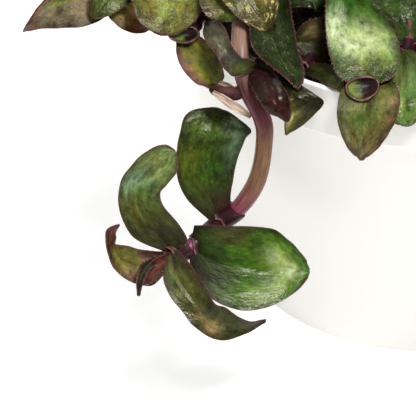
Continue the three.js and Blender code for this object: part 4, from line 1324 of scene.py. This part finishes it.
def sheath_cup(name, outline, depth, lit_side):
    """A shallow oval cup whose lip runs through the drawn places, right, down and how near."""
    around, rows = CUP_GRID
    ring = []
    for k in range(around):
        place = k / around * len(outline)
        i, w = int(place), place - int(place)
        four = [Vector(outline[(i + j) % len(outline)]) for j in (-1, 0, 1, 2)]
        ring.append(stem_point(four, (1 + w) / 3))
    centre = sum(ring, Vector()) / around
    shade, light = linear("#170c08"), leaf_tone("#7c8f5a")
    lip, worn_lip = linear("#2e1614"), linear("#8a6a5c")

    def shape(u, s):
        edge = ring[round((u + 1) / 2 * around) % around]
        if s < CUP_LIP_FROM:
            share = s / CUP_LIP_FROM
            place = centre.lerp(edge, share)
            place.z = edge.z + (centre.z - edge.z) * (1 - share) - depth * (1 - share**3)
            # Painted light in green on the lit side of the inside, painted shadow on the other.
            toward = (edge - centre).normalized().dot(Vector((*lit_side, 0)))
            colour = blend(shade, light, max(toward, 0) * share * 1.2)
            colour = blend(colour, lip, (share - 0.8) / 0.2)
        else:
            over = (s - CUP_LIP_FROM) / (1 - CUP_LIP_FROM)
            roll = math.pi * over
            size = LIP_ROLL + LIP_RAGGED * noise.noise(edge * 0.13)
            out = (edge - centre).normalized() * size * (1 - math.cos(roll))
            place = edge + Vector((out.x, out.y, LIP_RISE * math.sin(roll) - LIP_DROP * over))
            colour = blend(lip, worn_lip, math.sin(roll) * (0.5 + 0.5 * noise.noise(edge * 0.2)))
            colour = blend(colour, lip, over)
        return drawn(place.x, place.y, place.z), colour, (u * 12, s * 9, 9)

    cup = shaped_grid(name, around, rows, shape)
    close_tube(capped=False)
    give_wall(cup, CUP_WALL, offset=0)
    return joined([cup], name)


bright_cup = [
    (347, 85, 181.5), (355, 79.5, 181), (368, 77.5, 181), (377, 81, 181),
    (377, 91, 182.5), (368, 98, 183.5), (358, 99.5, 183.5), (349, 94, 183),
]
olive_cup = [
    (169, 34, 156), (177, 29, 156), (187, 27, 156), (195, 29, 156),
    (198, 35, 156), (192, 40.5, 156.5), (183, 42, 156.5), (174, 39.5, 156),
]
for stem_name, outline, depth, lit_side in (
    ("leafy_stem_bright", bright_cup, 2.5, (-1, 0.2)),
    ("leafy_stem_olive", olive_cup, 2, (-1, 0.4)),
):
    cup = sheath_cup(stem_name + "_cup", outline, depth, lit_side)
    cup.data.materials.append(stem_skin)
    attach(cup, "root")
    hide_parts(stem_name)

# An old leaf below the rim has dried to papery straw-coloured bracts, thin and a little curled.
BRACT_WALL = 0.2 * MM
BRACT_CURL = 0.9 * MM
BRACT_WAVE = 0.5 * MM
BRACT_GRID = (8, 24)
BRACTS = [
    ([(213, 92, 160.5), (222, 98, 161), (232, 105, 160), (242, 111, 158.5), (251, 117, 157)], 3.2),
    ([(219, 82, 158), (226, 85, 159), (233, 89, 159), (239, 93, 158)], 2.2),
]
dry_bract, tree, shader = material("dry papery bract")
grain = node(tree, "ShaderNodeAttribute", {"attribute_name": "grain"})
fibres = node(tree, "ShaderNodeMapping", {"Scale": (1, 0.15, 1)}, {"Vector": grain.outputs["Vector"]})
ribbing = node(
    tree, "ShaderNodeTexNoise", {"Scale": 2.2, "Detail": 4}, {"Vector": fibres.outputs["Vector"]}
)
straw = node(tree, "ShaderNodeValToRGB", {}, {"Fac": ribbing.outputs["Fac"]})
for stop, at, colour in zip(straw.color_ramp.elements, (0.35, 0.62), ("#7a4f48", "#d9c7b0")):
    stop.position = at
    stop.color = linear(colour)
crinkled = {"Strength": 0.5, "Distance": 0.3 * MM}
crinkle = node(tree, "ShaderNodeBump", crinkled, {"Height": ribbing.outputs["Fac"]})
tree.links.new(straw.outputs["Color"], shader.inputs["Base Color"])
tree.links.new(crinkle.outputs["Normal"], shader.inputs["Normal"])
shader.inputs["Roughness"].default_value = 0.7
strips = []
for places, width in BRACTS:
    line = [drawn(*place) for place in places]

    def shape(u, s):
        along = stem_along(line, s)
        side = along.cross(VIEW_BACK).normalized()
        half = width * MM * (0.25 + 0.75 * math.sin(math.pi * (0.08 + 0.84 * s))) / 2
        wavy = BRACT_WAVE * noise.noise(Vector((s * 5, u * 1.2, width)))
        where = stem_point(line, s) + side * u * half + VIEW_BACK * (BRACT_CURL * u * u + wavy)
        return where, linear("#d9c7b0"), (u * width * 2, s * 12, 9)

    strip = shaped_grid("bract", *BRACT_GRID, shape)
    give_wall(strip, BRACT_WALL, offset=0)
    strips.append(strip)
bracts = joined(strips, "leafy_stem_hanging_bracts")
bracts.data.materials.append(dry_bract)
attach(bracts, "root")
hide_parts("leafy_stem_hanging")

# Short pale hairs fringe the margins of the leaves, each up to about a millimetre long. They are
# drawn about twice as thick as real ones, as thin spikes, so that they show at all.
HAIR_SPACING = 1.1 * MM
HAIR_LENGTH = 0.9 * MM
HAIR_FOOT = 0.06 * MM
HAIR_ROOTED = 0.2 * MM
FIRST_HAIR_AT = 0.06
LAST_HAIR_AT = 0.995
hair_draw = random.Random(12)


def hairs_of(leaf):
    """The corners and faces of the hairs along both margins of a leaf."""
    corners, faces = [], []
    count = int(rib_length(leaf) / HAIR_SPACING)
    for k in range(2 * count):
        t = min(FIRST_HAIR_AT + 0.93 * (k // 2 + hair_draw.random()) / count, LAST_HAIR_AT)
        hand = 1 if k % 2 else -1
        side, along = blade_frame(leaf, t)[1:]
        face = side.cross(along).normalized()
        foot = blade_point(leaf, t, hand) - side * hand * HAIR_ROOTED
        lean_by = hair_draw.uniform(-0.5, 0.9)
        lift_by = hair_draw.uniform(-0.5, 0.7)
        way = (side * hand + along * lean_by + face * lift_by).normalized()
        tip = foot + way * HAIR_LENGTH * hair_draw.uniform(0.5, 1.2)
        first = len(corners)
        for turn in (0, math.tau / 3, 2 * math.tau / 3):
            corners.append(foot + HAIR_FOOT * (along * math.cos(turn) + face * math.sin(turn)))
        corners.append(tip)
        one, two, three, four = range(first, first + 4)
        faces += [(one, two, four), (two, three, four), (three, one, four), (one, three, two)]
    return corners, faces


pale_hair, tree, shader = material("pale plant hair")
place = node(tree, "ShaderNodeTexCoord")
dust = node(tree, "ShaderNodeTexNoise", {"Scale": 300}, {"Vector": place.outputs["Object"]})
straws = node(tree, "ShaderNodeValToRGB", {}, {"Fac": dust.outputs["Fac"]})
straws.color_ramp.elements[0].color = linear("#8c6f6c")
straws.color_ramp.elements[1].color = linear("#d8c8bc")
tree.links.new(straws.outputs["Color"], shader.inputs["Base Color"])
shader.inputs["Roughness"].default_value = 0.6
for stem in STEMS:
    corners, faces = [], []
    for leaf in stem["leaves"]:
        more, their_faces = hairs_of(leaf)
        faces += [tuple(i + len(corners) for i in face) for face in their_faces]
        corners += more
    if not faces:
        continue
    mesh = bpy.data.meshes.new(stem["name"] + "_hairs")
    mesh.from_pydata(corners, [], faces)
    hairs = bpy.data.objects.new(stem["name"] + "_hairs", mesh)
    bpy.context.collection.objects.link(hairs)
    bpy.context.view_layer.objects.active = hairs
    hairs.select_set(True)
    bpy.ops.object.mode_set(mode="EDIT")
    bpy.ops.mesh.select_all(action="SELECT")
    bpy.ops.mesh.normals_make_consistent(inside=False)
    bpy.ops.object.mode_set(mode="OBJECT")
    bpy.ops.object.select_all(action="DESELECT")
    mesh.materials.append(pale_hair)
    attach(hairs, "root")
    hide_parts(stem["name"])
